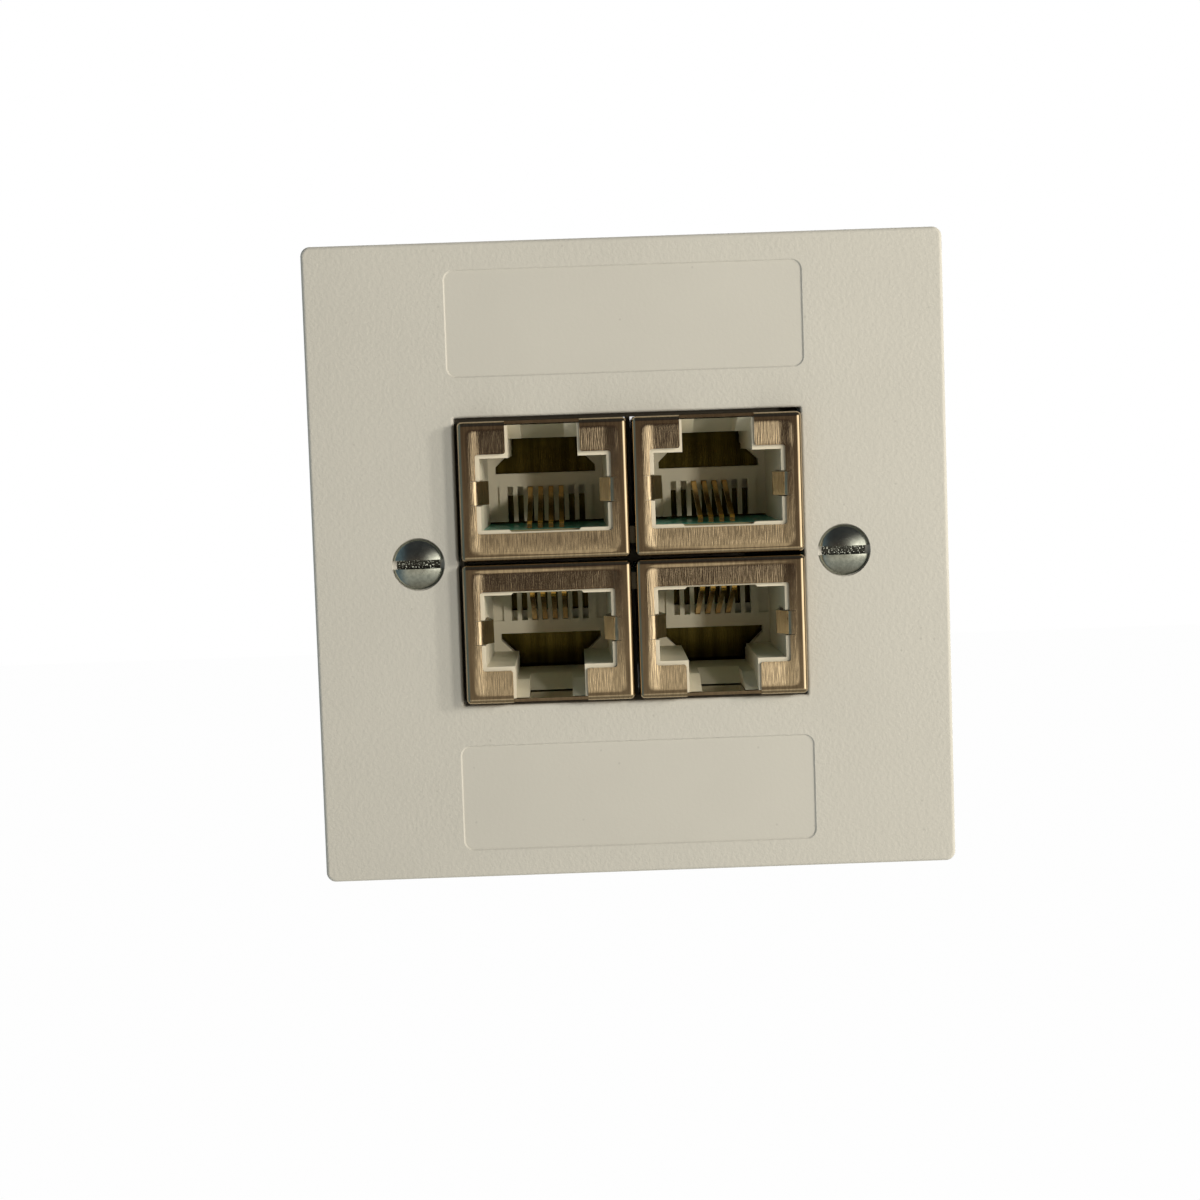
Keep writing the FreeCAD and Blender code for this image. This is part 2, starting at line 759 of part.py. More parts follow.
def wire_clamp(pole_x):
    """Clamp cage with a tapped roof and a solder pin."""
    outer_x = around(pole_x, chamber_width - 2 * clamp_gap)
    inner_x = (outer_x[0] + clamp_wall, outer_x[1] - clamp_wall)
    length = around(clamp_centre, clamp_depth)
    floor = chamber_floor + clamp_gap
    cage = block(outer_x, length, (floor, clamp_roof))
    pass_y = (length[0] - FAR, length[1] + FAR)
    wire_space = block(inner_x, pass_y, (floor + clamp_wall, clamp_roof - clamp_thread_wall))
    thread_start = Vector(pole_x, clamp_centre, clamp_roof - clamp_thread_wall - TOUCH)
    thread = rod(clamp_screw_radius + clamp_screw_gap, thread_start, UP * (clamp_thread_wall + FAR))
    pin_y = around(clamp_centre, clamp_pin_thickness)
    pin = block(around(pole_x, clamp_pin_width), pin_y, (-clamp_pin_length, floor + clamp_wall / 2))
    return cage.cut([wire_space, thread]).fuse(pin).removeSplitter()


def clamp_screw(pole_x, turn):
    """Slotted screw that presses the wire in its clamp; its slot stands at an angle."""
    seat = chamber_floor + chamber_height + well_ledge
    foot = clamp_roof - clamp_thread_wall - clamp_screw_bite
    head = rod(clamp_screw_head_radius, Vector(0, 0, seat), UP * clamp_screw_head_height)
    shank = rod(clamp_screw_radius, Vector(0, 0, foot), UP * (seat - foot + TOUCH))
    top = seat + clamp_screw_head_height
    slot_x = around(0, 2 * clamp_screw_head_radius + FAR)
    slot = block(slot_x, around(0, clamp_screw_slot_width), (top - clamp_screw_slot_depth, top + FAR))
    slot.rotate(Vector(), UP, turn)
    screw = head.fuse(shank).cut(slot).removeSplitter()
    screw.translate(Vector(pole_x, clamp_centre, 0))
    return screw


def link_strip():
    """Insulating strip between the boards, one waisted block to a pin."""
    half = link_pitch / 2
    height = board_underside - link_gap
    cut = half - link_chamfer
    corners = [(-half, -cut), (-cut, -half), (cut, -half), (half, -cut)]
    outline = corners + [(-x, -y) for x, y in corners]
    blocks = []
    holes = []
    for pin_x in link_places:
        points = [Vector(pin_x + x, link_place + y, -height) for x, y in outline]
        blocks.append(rounded_face(points, [0] * len(points)).extrude(UP * (2 * height)))
        side = link_pin_side + 2 * link_fit_gap
        holes.append(block(around(pin_x, side), around(link_place, side), (-height - FAR, height + FAR)))
    return blocks[0].fuse(blocks[1:]).removeSplitter().cut(holes)


def link_pin(pin_x):
    """Square pin that joins the two boards."""
    return block(around(pin_x, link_pin_side), around(link_place, link_pin_side), around(0, link_pin_length))


def on_board(shape, x=0.0, y=0.0):
    """Copy of a shape set on the upper board's face."""
    moved = shape.copy()
    moved.translate(Vector(x, y, board_level))
    return moved


def turned_over(shape):
    """Copy of an upper piece turned half round the depth axis, to the lower row."""
    moved = shape.copy()
    moved.rotate(Vector(), AWAY, 180)
    return moved


def write(name, shape, shift):
    """Write one node's solids, moved by the module's play in the window if it belongs to the module."""
    placed = shape.copy()
    placed.translate(shift)
    placed.exportStep(os.path.join("parts", name + ".step"))


def module_pieces():
    """Pieces of the upper half of the module by plain name; a column name goes with each jack piece."""
    pieces = {"board": circuit_board(), "terminal_body": on_board(terminal_body())}
    shield = jack_shield()
    housing = jack_housing()
    for column, x in columns.items():
        pieces[column + "_shield"] = on_board(shield, x, jack_front)
        pieces[column + "_housing"] = on_board(housing, x, jack_front)
        for number, place in enumerate(contact_places, start=first_contact):
            name = column + "_contact_" + str(number)
            pieces[name] = on_board(contact_wire(place), x, jack_front)
    for number, pole_x in enumerate(pole_places, start=1):
        pieces["terminal_clamp_" + str(number)] = on_board(wire_clamp(pole_x))
    screws = [clamp_screw(pole_x, i * slot_turn) for i, pole_x in enumerate(pole_places)]
    pieces["terminal_screws"] = on_board(Part.makeCompound(screws))
    return pieces


def main():
    """Build every piece and write one file to a node."""
    os.makedirs("parts", exist_ok=True)
    still = Vector()
    play = Vector(module_shift_x, 0, module_shift_z)
    write("cover_plate", cover_plate(), still)
    write("cover_screws", Part.makeCompound([cover_screw(x) for x in screw_places]), still)
    write("module_carrier", module_carrier(), play)
    write("board_link_strip", link_strip(), play)
    for number, pin_x in enumerate(link_places, start=1):
        write("board_link_pin_" + str(number), link_pin(pin_x), play)
    other_side = {"left": "right", "right": "left"}
    for name, shape in module_pieces().items():
        write("upper_" + name, shape, play)
        column, _, rest = name.partition("_")
        lower_name = other_side[column] + "_" + rest if column in other_side else name
        write("lower_" + lower_name, turned_over(shape), play)


main()
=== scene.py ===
import logging
import math
from dataclasses import KW_ONLY, dataclass, fields
from enum import Enum
from typing import Callable, Dict, List, Sequence, Tuple, Union

import bmesh
import bpy
from mathutils import Matrix, Vector


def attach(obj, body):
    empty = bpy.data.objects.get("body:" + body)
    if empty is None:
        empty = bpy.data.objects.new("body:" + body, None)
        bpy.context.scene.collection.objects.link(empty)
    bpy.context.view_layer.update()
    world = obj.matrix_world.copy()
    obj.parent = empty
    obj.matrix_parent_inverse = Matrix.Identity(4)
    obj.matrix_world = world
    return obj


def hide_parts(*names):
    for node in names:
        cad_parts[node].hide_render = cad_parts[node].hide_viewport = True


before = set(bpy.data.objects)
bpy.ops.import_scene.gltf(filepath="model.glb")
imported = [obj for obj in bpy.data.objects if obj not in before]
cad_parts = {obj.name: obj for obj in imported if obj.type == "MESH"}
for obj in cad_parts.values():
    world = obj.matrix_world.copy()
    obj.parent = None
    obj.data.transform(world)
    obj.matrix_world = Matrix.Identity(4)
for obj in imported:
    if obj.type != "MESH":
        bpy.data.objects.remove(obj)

MM = 0.001
MM_PER_METRE = 1000.0
TURN = 2 * math.pi
LOG = logging.getLogger("wall_socket")

Colour = Tuple[float, float, float]
Shade = Tuple[float, float, float, float]
Place = Tuple[float, float]
Band = Tuple[float, float]
Triple = Tuple[float, float, float]
Material = bpy.types.Material
Mesh = bpy.types.Mesh
Node = bpy.types.Node
Socket = bpy.types.NodeSocket
Tree = bpy.types.NodeTree
Work = bmesh.types.BMesh
Pair = Tuple[Socket, Socket]
Feed = Union[float, Sequence[float], Socket]


class Slot(Enum):
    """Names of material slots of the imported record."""

    PLATED_STEEL = "plated_steel"
    GREEN_BOARD = "green_board"
    TINNED_BRASS = "tinned_brass"


class Row(Enum):
    """The two rows of jacks; the value turns an upper place into the row's own."""

    UPPER = 1
    LOWER = -1

    @property
    def label(self) -> str:
        """The row as the names of pieces give it."""
        return self.name.lower()


def metres(x: float, y: float, z: float) -> Vector:
    """Point given in millimetres, in Blender's metres."""
    return Vector((x, y, z)) * MM


def lengths(millimetres: Sequence[float]) -> Tuple[float, ...]:
    """Lengths given in millimetres, in Blender's metres."""
    return tuple(length * MM for length in millimetres)


def opaque(colour: Colour, factor: float = 1.0) -> Shade:
    """A colour, lighter or darker by a factor, with full alpha."""
    return tuple(channel * factor for channel in colour) + (1.0,)


def in_scene(name: str, data: bpy.types.ID) -> bpy.types.Object:
    """New object in the scene for a mesh, a lamp or a camera."""
    made = bpy.data.objects.new(name, data)
    bpy.context.scene.collection.objects.link(made)
    return made


class Wiring:
    """Adds nodes to one node tree and joins their sockets."""

    # Places of the colour sockets on a Mix node: factor, both colours, and the result.
    MIX_INPUTS: Tuple[int, int, int] = (0, 6, 7)
    MIX_RESULT: int = 2

    def __init__(self, tree: Tree) -> None:
        """Keep the tree that the nodes go into."""
        self.tree = tree

    def add(self, kind: str, **settings: object) -> Node:
        """Add a node by Blender's name for it, without the ShaderNode prefix, with its settings."""
        node = self.tree.nodes.new("ShaderNode" + kind)
        for name, value in settings.items():
            setattr(node, name, value)
        return node

    def feed(self, socket: Socket, value: Feed) -> None:
        """Join a socket to another one, or set it to a plain value."""
        if isinstance(value, Socket):
            self.tree.links.new(value, socket)
        else:
            socket.default_value = value

    @staticmethod
    def source(socket: Socket) -> Socket:
        """The socket that a joined socket takes its value from."""
        return socket.links[0].from_socket

    def math(self, operation: str, *values: Feed) -> Socket:
        """Result of one arithmetic step on one to three values."""
        node = self.add("Math", operation=operation)
        for socket, value in zip(node.inputs, values):
            self.feed(socket, value)
        return node.outputs[0]

    def product(self, first: Feed, *others: Feed) -> Feed:
        """Product of several values."""
        for other in others:
            first = self.math("MULTIPLY", first, other)
        return first

    def step(self, value: Feed, band: Sequence[float], start: float = 0.0, end: float = 1.0) -> Socket:
        """Smooth step of a value over a band, from the start before it to the end past it."""
        node = self.add("MapRange", interpolation_type="SMOOTHSTEP")
        for index, item in enumerate((value, *band, start, end)):
            self.feed(node.inputs[index], item)
        return node.outputs[0]

    def blend(self, factor: Feed, first: Feed, second: Feed) -> Socket:
        """Mix of two colours by a factor."""
        node = self.add("Mix", data_type="RGBA")
        for index, value in zip(self.MIX_INPUTS, (factor, first, second)):
            self.feed(node.inputs[index], value)
        return node.outputs[self.MIX_RESULT]

    def noise(self, place: Feed, scale: Feed, detail: float = 2.0) -> Socket:
        """Soft noise between 0 and 1 at a place."""
        node = self.add("TexNoise")
        self.feed(node.inputs["Vector"], place)
        self.feed(node.inputs["Scale"], scale)
        node.inputs["Detail"].default_value = detail
        return node.outputs["Fac"]

    def axes(self, vector: Feed) -> Tuple[Socket, Socket, Socket]:
        """The three numbers of a vector."""
        node = self.add("SeparateXYZ")
        self.feed(node.inputs[0], vector)
        return node.outputs[0], node.outputs[1], node.outputs[2]

    def vector(self, **axes: Feed) -> Socket:
        """Vector of the given numbers by axis; an axis left out is 0."""
        node = self.add("CombineXYZ")
        for axis, value in axes.items():
            self.feed(node.inputs[axis], value)
        return node.outputs[0]

    def place(self) -> Socket:
        """Place on the object, in metres."""
        return self.add("TexCoord").outputs["Object"]

    def normal(self) -> Tuple[Socket, Socket, Socket]:
        """The three numbers of the surface's own direction."""
        return self.axes(self.add("NewGeometry").outputs["Normal"])

    def bump(self, depth: float, height: Feed) -> Node:
        """Bump node for a height and the depth, in millimetres, that a height of 1 stands for."""
        node = self.add("Bump")
        node.inputs["Distance"].default_value = depth * MM
        self.feed(node.inputs["Height"], height)
        return node


class Effects:
    """Shader node groups that several finishes share, each built once."""

    # Bands of noise that grain and film rise over, and scales of the clouds and streaks.
    GRAIN: Band = (0.3, 0.7)
    FILM: Band = (0.35, 0.7)
    CLOUD_SCALE: float = 90.0
    STREAK_SCALE: float = 0.45
    # Bands over which a cell comes to hold a speck, and over which the speck's edge fades.
    RARE: Band = (0.62, 0.66)
    SPECK_EDGE: Band = (0.04, 0.09)

    def __init__(self) -> None:
        """Build the groups."""
        self.moulded = self._moulded()
        self.drawn = self._drawn()
        self.handled = self._handled()

    @staticmethod
    def _start(name: str, inputs: Dict[str, float], outputs: Sequence[str]) -> Tuple[Wiring, Node, Node]:
        """Start a group.

        Args:
            name: name of the group.
            inputs: named inputs with their usual values.
            outputs: named outputs, all plain values.

        Returns:
            The group's wiring, its input node and its output node.
        """
        tree = bpy.data.node_groups.new(name, "ShaderNodeTree")
        number = "NodeSocketFloat"
        for label, usual in inputs.items():
            tree.interface.new_socket(label, in_out="INPUT", socket_type=number).default_value = usual
        for label in outputs:
            tree.interface.new_socket(label, in_out="OUTPUT", socket_type=number)
        return Wiring(tree), tree.nodes.new("NodeGroupInput"), tree.nodes.new("NodeGroupOutput")

    @staticmethod
    def _scale(wiring: Wiring, given: Node, label: str) -> Socket:
        """Scale of a texture whose features have the size, in millimetres, of a group's input."""
        return wiring.math("DIVIDE", MM_PER_METRE, given.outputs[label])

    def _moulded(self) -> Tree:
        """Grain of a textured mould, cloudy tone of the plastic and scattered specks."""
        usual = {"Grain mm": 0.3, "Speck mm": 2.0}
        wiring, given, made = self._start("moulded grain", usual, ("Height", "Tone", "Specks"))
        place = wiring.place()
        fine = wiring.noise(place, self._scale(wiring, given, "Grain mm"), detail=3.0)
        wiring.feed(made.inputs["Height"], wiring.step(fine, self.GRAIN))
        wiring.feed(made.inputs["Tone"], wiring.noise(place, self.CLOUD_SCALE, detail=4.0))
        cells = wiring.add("TexVoronoi")
        wiring.feed(cells.inputs["Vector"], place)
        wiring.feed(cells.inputs["Scale"], self._scale(wiring, given, "Speck mm"))
        red, _, _ = wiring.axes(cells.outputs["Color"])
        dot = wiring.step(cells.outputs["Distance"], self.SPECK_EDGE, 1.0, 0.0)
        wiring.feed(made.inputs["Specks"], wiring.product(dot, wiring.step(red, self.RARE)))
        return wiring.tree

    def _drawn(self) -> Tree:
        """Streaks of rolled or drawn metal that run along Z."""
        usual = {"Across mm": 0.1, "Along mm": 1.5}
        wiring, given, made = self._start("drawn grain", usual, ("Height", "Streak"))
        across, along = (self._scale(wiring, given, label) for label in usual)
        x, y, z = map(wiring.product, wiring.axes(wiring.place()), (across, across, along))
        drawn = wiring.vector(X=x, Y=y, Z=z)
        wiring.feed(made.inputs["Height"], wiring.noise(drawn, 1.0, detail=3.0))
        wiring.feed(made.inputs["Streak"], wiring.noise(drawn, self.STREAK_SCALE))
        return wiring.tree

    def _handled(self) -> Tree:
        """Film of fingermarks and dust that changes a surface's gloss in patches."""
        wiring, given, made = self._start("handled film", {"Patch mm": 6.0}, ("Film",))
        patches = wiring.noise(wiring.place(), self._scale(wiring, given, "Patch mm"), detail=5.0)
        wiring.feed(made.inputs["Film"], wiring.step(patches, self.FILM))
        return wiring.tree

    @staticmethod
    def use(wiring: Wiring, group: Tree, **values: float) -> Node:
        """Place a group in a material; values are its inputs by name, with _ for a space."""
        node = wiring.tree.nodes.new("ShaderNodeGroup")
        node.node_tree = group
        for label, value in values.items():
            node.inputs[label.replace("_", " ")].default_value = value
        return node


class Coat(Wiring):
    """Wiring of one material round its Principled node."""

    def __init__(self, name: str) -> None:
        """Start a material of that name."""
        self.material = bpy.data.materials.new(name)
        self.material.use_nodes = True
        super().__init__(self.material.node_tree)
        self.shader = self.tree.nodes["Principled BSDF"]

    def put(self, name: str, value: Feed) -> None:
        """Join or set one input of the Principled node."""
        self.feed(self.shader.inputs[name], value)

    def fed(self, name: str) -> Socket:
        """The socket that one input of the Principled node is joined to."""
        return self.source(self.shader.inputs[name])


@dataclass(frozen=True)
class Finish:
    """What every finish has: a name, a colour and a roughness that patches of film change.

    The patches have a size in millimetres. They add up to the film's gain to where the roughness starts.
    """

    name: str
    colour: Colour
    roughness: float
    _: KW_ONLY
    film_patch: float = 9.0
    film_gain: float = 0.1
    film_start: float = -0.05

    def start(self, effects: Effects) -> Coat:
        """Start the material, with patches of film in its gloss."""
        coat = Coat(self.name)
        coat.put("Base Color", opaque(self.colour))
        coat.put("Roughness", self.roughness)
        film = effects.use(coat, effects.handled, Patch_mm=self.film_patch).outputs["Film"]
        least = self.roughness + self.film_start
        coat.put("Roughness", coat.math("MULTIPLY_ADD", film, self.film_gain, least))
        return coat

    def shades(self, factors: Sequence[float]) -> List[Shade]:
        """The colour, lighter or darker by each factor."""
        return [opaque(self.colour, factor) for factor in factors]


@dataclass(frozen=True)
class MouldedPlastic(Finish):
    """Injection moulded plastic with the grain of its mould. Lengths in millimetres.

    Faces that lie behind smooth_behind, such as recessed fields, are nearly smooth; 0 leaves none so.
    """

    _: KW_ONLY
    grain: float
    depth: float
    specks: float
    speck_size: float = 1.7
    speck_shade: float = 0.55
    tones: Band = (0.955, 1.045)
    smooth_behind: float = 0.0
    smooth_fade: float = 0.06
    smooth_share: float = 0.25

    def material(self, effects: Effects) -> Material:
        """Material with grain in its relief, cloudy tone, specks and patches of film."""
        coat = self.start(effects)
        grain = effects.use(coat, effects.moulded, Grain_mm=self.grain, Speck_mm=self.speck_size).outputs
        toned = coat.blend(grain["Tone"], *self.shades(self.tones))
        speck = coat.product(grain["Specks"], self.specks)
        coat.put("Base Color", coat.blend(speck, toned, opaque(self.colour, self.speck_shade)))
        height = grain["Height"]
        if self.smooth_behind:
            _, y, _ = coat.axes(coat.place())
            fade = lengths((self.smooth_behind, self.smooth_behind + self.smooth_fade))
            height = coat.product(height, coat.step(y, fade, 1.0, self.smooth_share))
        coat.put("Normal", coat.bump(self.depth, height).outputs[0])
        return coat.material


@dataclass(frozen=True)
class PlatedMetal(Finish):
    """Plated wire, clamps, screws and solder with fine drawing marks. Lengths in millimetres."""

    _: KW_ONLY
    across: float
    along: float
    depth: float
    film_patch: float = 2.5
    film_gain: float = 0.06
    film_start: float = -0.02
    streak: Band = (0.35, 0.65)
    streak_shades: Band = (0.86, 1.06)

    def wire_up(self, effects: Effects) -> Tuple[Coat, Node]:
        """Dress the material; gives its wiring and its Bump node."""
        coat = self.start(effects)
        coat.put("Metallic", 1.0)
        marks = effects.use(coat, effects.drawn, Across_mm=self.across, Along_mm=self.along).outputs
        streaks = coat.step(marks["Streak"], self.streak)
        coat.put("Base Color", coat.blend(streaks, *self.shades(self.streak_shades)))
        bump = coat.bump(self.depth, marks["Height"])
        coat.put("Normal", bump.outputs[0])
        return coat, bump

    def material(self, effects: Effects) -> Material:
        """Material with drawing marks and patches of film."""
        coat, _ = self.wire_up(effects)
        return coat.material


@dataclass(frozen=True)
class ScrewPlate(PlatedMetal):
    """Bright plate of the cover screws, with a rough floor in the sawn slot whose colour holds painted shade
    and painted glints.
    """

    _: KW_ONLY
    slot_half: float
    slot_behind: float
    side_fade: float = 0.03
    floor_fade: float = 0.02
    torn_scale: float = 6500.0
    torn_height: float = 24.0
    fleck: Band = (0.57, 0.63)
    fleck_shades: Band = (0.2, 2.08)

    def material(self, effects: Effects) -> Material:
        """Plated material with the slot's rough floor told by its place; painted shade darkens the floor and
        painted glints lighten its flecks.
        """
        coat, bump = self.wire_up(effects)
        place = coat.place()
        _, y, z = coat.axes(place)
        beside = lengths((self.slot_half - self.side_fade, self.slot_half))
        floor = lengths((self.slot_behind - self.floor_fade, self.slot_behind))
        inside = coat.step(coat.math("ABSOLUTE", z), beside, 1.0, 0.0)
        sawn = coat.product(inside, coat.step(y, floor))
        torn = coat.noise(place, self.torn_scale, detail=3.0)
        rough = coat.product(sawn, self.torn_height, torn)
        height = bump.inputs["Height"]
        coat.feed(height, coat.math("ADD", coat.source(height), rough))
        # Painted shade and painted glints: the sawn floor is drawn dark, and its flecks white and not metallic;
        # only the torn relief is real.
        slot_glints = coat.step(torn, self.fleck)
        painted_slot_light = coat.blend(slot_glints, *self.shades(self.fleck_shades))
        coat.put("Base Color", coat.blend(sawn, coat.fed("Base Color"), painted_slot_light))
        coat.put("Metallic", coat.math("SUBTRACT", 1.0, coat.product(sawn, slot_glints)))
        return coat.material


@dataclass(frozen=True)
class FrontSpot:
    """Where a point lies on its shield's front; of each pair the first runs across and the second up.

    out is the way from the front's centre and away from the block's, way the way right or up from it, and
    margin the way in from its edge. side tells the column and the row by its sign.
    """

    out: Pair
    side: Pair
    way: Pair
    margin: Pair


@dataclass(frozen=True)
class ShieldSheet(PlatedMetal):
    """Plated sheet of the shields: a pressed, dished and grained panel in each front with painted glints, and
    an inside painted dark as shade.

    The panel leans up and down by its crown, and its upright bands roll in towards the opening. The right
    column and the outer right corners lean a little. A bead runs along the panel's side to the other row.
    """

    _: KW_ONLY
    crown: float
    roll: float
    lean: Place
    bead: float
    press: float
    rim_gloss: float
    panel_inset: Place
    centre: Place
    half: Place
    shift: Place
    inside_shade: Colour
    # Foot, crest and heel of the bead, in panel insets; it is weaker on one side of the front.
    bead_places: Triple = (0.75, 1.33, 4.0)
    bead_side: Band = (-4.0, 3.0)
    bead_weak: float = 0.4
    # Start, crest and end of the rolled bands, in from the front's sides.
    roll_places: Triple = (2.3, 1.55, 0.65)
    column_step: Band = (-1.0, 1.0)
    corner_out: Band = (3.0, 4.0)
    corner_right: Band = (2.0, 4.0)
    facing_front: Band = (-0.6, -0.4)
    # Painted glints: the grain marks lighten and darken the colour, less so in the upper part of each front.
    sparkle: Band = (0.38, 0.64)
    sparkle_shades: Band = (0.72, 1.26)
    sparkle_fade: Band = (-3.0, 2.0)
    sparkle_weak: float = 0.3
    # Painted shade: the inside is drawn dark and striped.
    inside: Band = (0.0, 2.0)
    stripe_scale: float = 900.0
    stripe: Band = (0.35, 0.65)
    stripe_shades: Band = (0.8, 1.6)

    def spot(self, coat: Coat, places: Pair) -> FrontSpot:
        """Where a place on the object, given across and up, lies on the nearest front."""
        pairs = []
        for i, value in enumerate(places):
            moved = coat.math("SUBTRACT", value, self.shift[i] * MM)
            side = coat.math("SIGN", moved)
            out = coat.math("SUBTRACT", coat.math("ABSOLUTE", moved), self.centre[i] * MM)
            margin = coat.math("SUBTRACT", self.half[i] * MM, coat.math("ABSOLUTE", out))
            pairs.append((out, side, coat.product(out, side), margin))
        return FrontSpot(*zip(*pairs))

    def beaded(self, coat: Coat, spot: FrontSpot) -> Socket:
        """Height of the bead, which stands proud in the upper row and is sunk in the lower one."""
        inner = coat.math("ADD", spot.out[1], self.half[1] * MM)
        foot, crest, heel = lengths([self.panel_inset[0] * part for part in self.bead_places])
        side = coat.product(spot.way[0], spot.side[1])
        ends = lengths((self.panel_inset[0], 2 * self.panel_inset[1]))
        return coat.product(
            coat.step(inner, (foot, crest)),
            coat.step(inner, (crest, heel), 1.0, 0.0),
            spot.side[1],
            coat.step(side, lengths(self.bead_side), self.bead_weak, 1.0),
            coat.step(spot.margin[0], ends, 0.0, self.bead / self.depth),
        )

    def leaning(self, coat: Coat, spot: FrontSpot, x: Socket) -> Socket:
        """Lean across of the rolled bands, the right-hand column and the outer right corners."""
        start, crest, end = lengths([self.half[0] - inward for inward in self.roll_places])
        beside = coat.math("ABSOLUTE", spot.out[0])
        rolled = coat.product(
            coat.step(beside, (start, crest)),
            coat.step(beside, (crest, end), -self.roll, 0.0),
            coat.math("SIGN", spot.way[0]),
        )
        corner = coat.product(
            coat.step(spot.out[1], lengths(self.corner_out)),
            coat.step(spot.way[0], lengths(self.corner_right), 0.0, self.lean[1]),
        )
        column = coat.step(x, lengths(self.column_step), 0.0, self.lean[0])
        return coat.math("ADD", rolled, coat.math("ADD", corner, column))

    def painted_inside_shade(self, coat: Coat, x: Socket) -> Socket:
        """Painted shade of the inside: a dark, striped colour."""
        stripes = coat.noise(coat.vector(X=coat.product(x, self.stripe_scale)), 1.0, detail=1.0)
        inside_shade, pale = (opaque(self.inside_shade, factor) for factor in self.stripe_shades)
        return coat.blend(coat.step(stripes, self.stripe), inside_shade, pale)

    def material(self, effects: Effects) -> Material:
        """Plated material with the relief of the fronts, painted glints on them and the inside's painted shade
        added.
        """
        coat, bump = self.wire_up(effects)
        x, y, z = coat.axes(coat.place())
        spot = self.spot(coat, (x, z))
        inset = lengths(self.panel_inset)
        panel = coat.step(coat.math("SMOOTH_MIN", *spot.margin, inset[1]), inset)
        _, facing, _ = coat.normal()
        forward = coat.step(facing, self.facing_front, 1.0, 0.0)
        front = coat.product(panel, forward)

        marks = coat.source(bump.inputs["Height"])
        pressed = coat.product(panel, -self.press / self.depth)
        height = coat.math("ADD", coat.product(marks, panel), pressed)
        coat.feed(bump.inputs["Height"], coat.math("ADD", height, self.beaded(coat, spot)))
        across = coat.product(self.leaning(coat, spot, x), front)
        upward = coat.product(spot.way[1], self.crown, front)
        shaped = coat.add("VectorMath", operation="ADD")
        coat.feed(shaped.inputs[0], bump.outputs[0])
        coat.feed(shaped.inputs[1], coat.vector(X=across, Z=upward))
        turned = coat.add("VectorMath", operation="NORMALIZE")
        coat.feed(turned.inputs[0], shaped.outputs[0])
        coat.put("Normal", turned.outputs[0])

        smooth_rim = coat.product(coat.math("SUBTRACT", 1.0, panel), self.rim_gloss)
        coat.put("Roughness", coat.math("SUBTRACT", coat.fed("Roughness"), smooth_rim))

        # Painted glints along the real grain marks, weaker on the upper part of each front.
        painted_glints = coat.blend(coat.step(marks, self.sparkle), *self.shades(self.sparkle_shades))
        lower = coat.step(spot.way[1], lengths(self.sparkle_fade), 1.0, self.sparkle_weak)
        plated = coat.blend(coat.product(front, lower), coat.fed("Base Color"), painted_glints)
        # Painted shade: forward-facing faces behind the front get the dark, striped colour.
        shaded_inside = coat.product(forward, coat.step(y, lengths(self.inside)))
        coat.put("Base Color", coat.blend(shaded_inside, plated, self.painted_inside_shade(coat, x)))
        return coat.material


@dataclass(frozen=True)
class BoardLaminate(Finish):
    """Glass laminate board under solder mask, with bare yellowish edges. Lengths in millimetres."""

    _: KW_ONLY
    edge: Colour
    weave: float
    film_patch: float = 4.0
    film_gain: float = 0.12
    film_start: float = 0.0
    gloss_coat: float = 0.3
    cloth_depth: float = 0.004
    cloth_shades: Band = (0.88, 1.12)
    layer_scale: float = 9000.0
    layer_shade: float = 0.75
    facing_up: Band = (0.4, 0.6)

    def material(self, effects: Effects) -> Material:
        """Material with the cloth's weave under the mask and layered edges."""
        coat = self.start(effects)
        coat.put("Coat Weight", self.gloss_coat)
        x, y, z = coat.axes(coat.place())
        turns = TURN / (self.weave * MM)
        warp, weft = (coat.math("SINE", coat.product(value, turns)) for value in (x, y))
        cloth = coat.product(warp, weft)
        masked = coat.blend(coat.step(cloth, (-1.0, 1.0)), *self.shades(self.cloth_shades))
        layers = coat.noise(coat.product(z, self.layer_scale), 1.0)
        bare = coat.blend(layers, opaque(self.edge, self.layer_shade), opaque(self.edge))
        _, _, upright = coat.normal()
        flat = coat.step(coat.math("ABSOLUTE", upright), self.facing_up)
        coat.put("Base Color", coat.blend(flat, bare, masked))
        coat.put("Normal", coat.bump(self.cloth_depth, cloth).outputs[0])
        return coat.material


